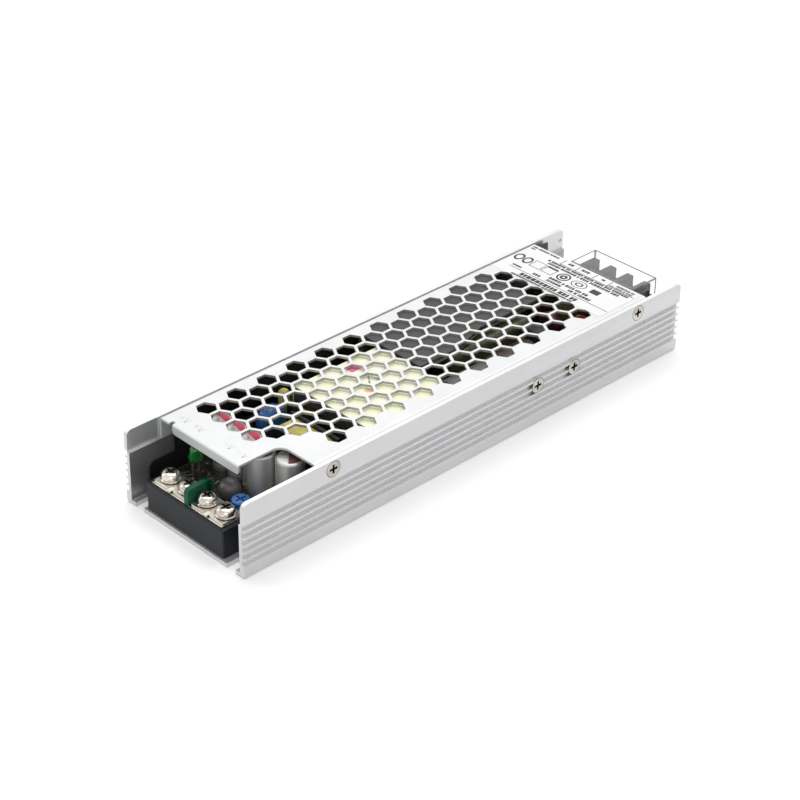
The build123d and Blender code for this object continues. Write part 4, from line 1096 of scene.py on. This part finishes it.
@dataclass
class BoardDetail(Part):
    """Circuit board with its pillars and screws, and the chip parts soldered on it."""

    seed: int = 21
    strips: Sequence[tuple[float, float, float, float, int]] = (
        (-20.0, -6.0, -84.6, -74.6, 16), (12.5, 22.5, -84.0, -75.6, 10),
        (-22.5, -19.0, -58.0, -46.0, 6), (18.0, 23.0, -58.0, -46.0, 8),
        (-20.5, -16.5, 20.0, 23.0, 2), (-2.0, 22.0, 79.6, 83.4, 12),
        (-21.0, -3.0, 80.2, 83.6, 8), (-21.0, -3.0, 60.0, 65.0, 6))
    chip_lengths: Sequence[float] = (1.6, 2.0, 3.2)
    chip_widths: Sequence[float] = (0.8, 1.2)
    chip_height: float = 0.6
    body_share: float = 0.62
    end_share: float = 0.22
    end_reach: float = 0.4
    end_swell: float = 1.04
    end_drop: float = 0.02
    finishes: ClassVar = {DARK_BOARD: ("circuit_board",), NICKEL: ("board_pillars", "board_screws")}

    def add_pieces(self, bench: Bench) -> None:
        """Scatter chip parts with tinned ends over the free strips of the board."""
        middle = box_mm("circuit_board")[1][2] + self.chip_height / 2
        chance = np.random.RandomState(self.seed)
        bodies, ends, sizes, end_sizes = [], [], [], []
        for left, right, front, rear, count in self.strips:
            xs = chance.uniform(left, right, count)
            ys = chance.uniform(front, rear, count)
            for x, y in zip(xs, ys):
                length = chance.choice(self.chip_lengths)
                width = chance.choice(self.chip_widths)
                bodies.append([x, y, middle])
                sizes.append([length * self.body_share, width, self.chip_height])
                for side in (-1, 1):
                    ends.append([x + side * length * self.end_reach, y, middle - self.end_drop])
                    end_sizes.append([length * self.end_share, width * self.end_swell,
                                      self.chip_height * self.end_swell])
        blocks = rounded_blocks(np.array(bodies), np.array(sizes))
        bench.piece("chip_bodies", blocks, DARK_PACKAGE, smooth=False)
        blocks = rounded_blocks(np.array(ends), np.array(end_sizes))
        bench.piece("chip_ends", blocks, TIN, smooth=False)


@dataclass
class OutputEnd(Part):
    """Output terminal block with its screws, the separator, the adjuster and the light."""

    finishes: ClassVar = {
        BLACK_MOULDING: ("output_block",), TIN: ("output_contacts", "output_square_washers"),
        NICKEL: ("output_round_washers", "output_screws"), GREEN_BOARD: ("polarity_separator",),
        BLUE_MOULDING: ("adjuster_body", "adjuster_rotor"), GREEN_LENS: ("indicator_light",),
        DARK_SLEEVE: ("dome_capacitor",)}


@dataclass(frozen=True)
class Can:
    """Top of a standing can: its middle, its height, its flat radius and its mark's end angles."""

    x: float
    y: float
    top: float
    radius: float
    mark: tuple[float, float]


@dataclass
class OutputFilter(Part):
    """Standing cans with scored and marked tops, the disc capacitor and the output choke."""

    score_depth: float = 0.12
    score_width: float = 0.25
    score_fade: int = 6
    top_lift: float = 0.03
    rim_drop: float = 0.05
    mark_lift: float = 0.02
    rings: int = 14
    sides: int = 48
    mark_rows: int = 6
    mark_columns: int = 25
    large_radius: float = 4.5
    small_flat: float = 0.8
    large_flat: float = 0.82
    small_mark: tuple[float, float] = (-11.0, 169.0)
    large_mark: tuple[float, float] = (-50.0, 140.0)
    finishes: ClassVar = {
        CAN_METAL: ("small_output_capacitors", "large_output_capacitors"),
        BLUE_DIP: ("suppression_capacitor",), BLACK_MOULDING: ("output_choke_bobbin",),
        OLIVE_TAPE: ("output_choke_winding",)}

    def can_top(self, can: Can) -> Mesh:
        """Scored top of a can: a disc on a polar grid, lowered along a cross and at its rim.

        The height is the top less the score's depth times exp(-(d/w)^2), where d is the distance to
        the nearer arm of the cross and w the score's width.

        Args:
            can: The can.

        Returns:
            The points and the quads.
        """
        reach = np.linspace(0, can.radius, self.rings)[:, None]
        angle = np.linspace(0, 2 * math.pi, self.sides, endpoint=False)[None, :]
        across, along = reach * np.cos(angle), reach * np.sin(angle)
        away = np.minimum(np.abs(across + along), np.abs(across - along)) / math.sqrt(2)
        fade = 1 - (reach / can.radius) ** self.score_fade
        score = self.score_depth * np.exp(-(away / self.score_width) ** 2) * fade
        height = can.top + self.top_lift - score
        height[-1] = can.top - self.rim_drop
        points = np.stack([can.x + across, can.y + along, height], -1).reshape(-1, 3)
        return points, grid_faces(self.rings, self.sides, wrap=True)[:, ::-1]

    def can_mark(self, can: Can) -> Mesh:
        """Printed segment on a can's top: the part of the disc between a chord and its arc.

        Args:
            can: The can.

        Returns:
            The points and the quads.
        """
        angle = np.radians(np.linspace(*can.mark, self.mark_columns))
        arc = np.stack([np.cos(angle), np.sin(angle)], -1) * can.radius
        chord = np.linspace(arc[0], arc[-1], self.mark_columns)
        share = np.linspace(0, 1, self.mark_rows)[:, None, None]
        flat = chord[None] * (1 - share) + arc[None] * share
        height = np.full((*flat.shape[:2], 1), can.top + self.top_lift + self.mark_lift)
        points = np.concatenate([flat + np.array([can.x, can.y]), height], -1).reshape(-1, 3)
        return points, grid_faces(self.mark_rows, self.mark_columns)

    def add_pieces(self, bench: Bench) -> None:
        """Score and mark the cans of the output filter."""
        low, high = box_mm("small_output_capacitors")
        radius, middle = (high[1] - low[1]) / 2, (low[1] + high[1]) / 2
        small = [Can(x, middle, high[2], radius * self.small_flat, self.small_mark)
                 for x in (low[0] + radius, (low[0] + high[0]) / 2, high[0] - radius)]
        low, high = box_mm("large_output_capacitors")
        large = [Can(*place, high[2], self.large_radius * self.large_flat, self.large_mark)
                 for place in (low[:2] + self.large_radius, high[:2] - self.large_radius)]
        tops = joined([self.can_top(can) for can in small + large])
        bench.piece("can_tops", tops, CAN_METAL, closed=False)
        for name, cans, ink in (("small_can_marks", small, RED_INK), ("large_can_marks", large, MAROON_INK)):
            bench.film(name, joined([self.can_mark(can) for can in cans]), ink)


@dataclass
class Transformer(Part):
    """Main transformer with its tape, marks, lead and the upright boards beside it."""

    mark_lift: float = 0.03
    stroke: Bar = (-10.9, -7.0, -22.4, -18.3)
    scribble_start: tuple[float, float] = (-1.0, -22.6)
    scribble_turn: float = 4.4
    scribble_points: int = 70
    scribble_width: float = 2.6
    scribble_advance: float = 0.32
    scribble_depth: float = 1.1
    scribble_beat: float = 1.7
    pen_half: float = 0.3
    dot: tuple[float, float] = (4.2, -26.0)
    dot_radius: float = 1.2
    dot_hole: float = 0.01
    finishes: ClassVar = {
        FERRITE: ("transformer_core",), COPPER_WIRE: ("transformer_winding",),
        PALE_TAPE: ("transformer_tape",), DARK_PACKAGE: ("transformer_feet",),
        OLIVE_TAPE: ("taped_lead",), DARK_BOARD: ("rectifier_board", "control_board")}

    def add_pieces(self, bench: Bench) -> None:
        """Inspection marks on the tape: a short stroke, a scribble and a round dot.

        The scribble is a ribbon along x = a sin(t), y = b t + c cos(d t).
        """
        top = box_mm("transformer_tape")[1][2] + self.mark_lift
        bench.film("tape_stroke", flat_bars(np.array([self.stroke]), top), MAGENTA_INK)
        turn = np.linspace(0, self.scribble_turn * math.pi, self.scribble_points)
        x, y = self.scribble_start
        along = y + self.scribble_advance * turn + self.scribble_depth * np.cos(self.scribble_beat * turn)
        line = np.stack([x + self.scribble_width * np.sin(turn), along, np.full(len(turn), top)], -1)
        wide = np.array([self.pen_half, 0.0, 0.0])
        ribbon = np.stack([line - wide, line + wide], 1).reshape(-1, 3)
        bench.film("tape_scribble", (ribbon, grid_faces(len(turn), 2)), GREY_INK)
        dot = flat_ring(*self.dot, top, self.dot_radius, self.dot_hole)
        bench.film("tape_dot", dot, ORANGE_INK)


@dataclass
class LineSide(Part):
    """Heat spreader and pad, bulk cans, chokes and the parts that guard the line."""

    finishes: ClassVar = {
        SPREADER_METAL: ("heat_spreader",), GREY_PAD: ("thermal_pad",),
        GREY_SLEEVE: ("bulk_capacitor",), BROWN_SLEEVE: ("second_bulk_capacitor",),
        DARK_OLIVE_TAPE: ("boost_choke",), FERRITE: ("resonant_choke", "filter_choke_core"),
        PALE_TAPE: ("standby_transformer",), YELLOW_MOULDING: ("line_capacitor",),
        DARK_PACKAGE: ("bridge_rectifier", "power_transistors"),
        COPPER_WIRE: ("filter_choke_windings",), RED_DIP: ("surge_varistor",),
        BROWN_DIP: ("inrush_thermistor", "line_fuse")}


@dataclass
class InputEnd(Part):
    """Input terminal block and its clear cover."""

    finishes: ClassVar = {
        BLACK_MOULDING: ("input_block",), TIN: ("input_contacts",), NICKEL: ("input_screws",),
        CLEAR_PLASTIC: ("input_cover",)}


def main() -> None:
    """Build the studio and every sub-assembly in order."""
    logging.basicConfig(level=logging.INFO, format="%(name)s: %(message)s")
    Studio().build()
    bench = Bench()
    for part in (Case(), BoardDetail(), OutputEnd(), OutputFilter(), Transformer(), LineSide(), InputEnd()):
        part.build(bench)
        LOG.info("%s finished", type(part).__name__)


if __name__ == "__main__":
    main()
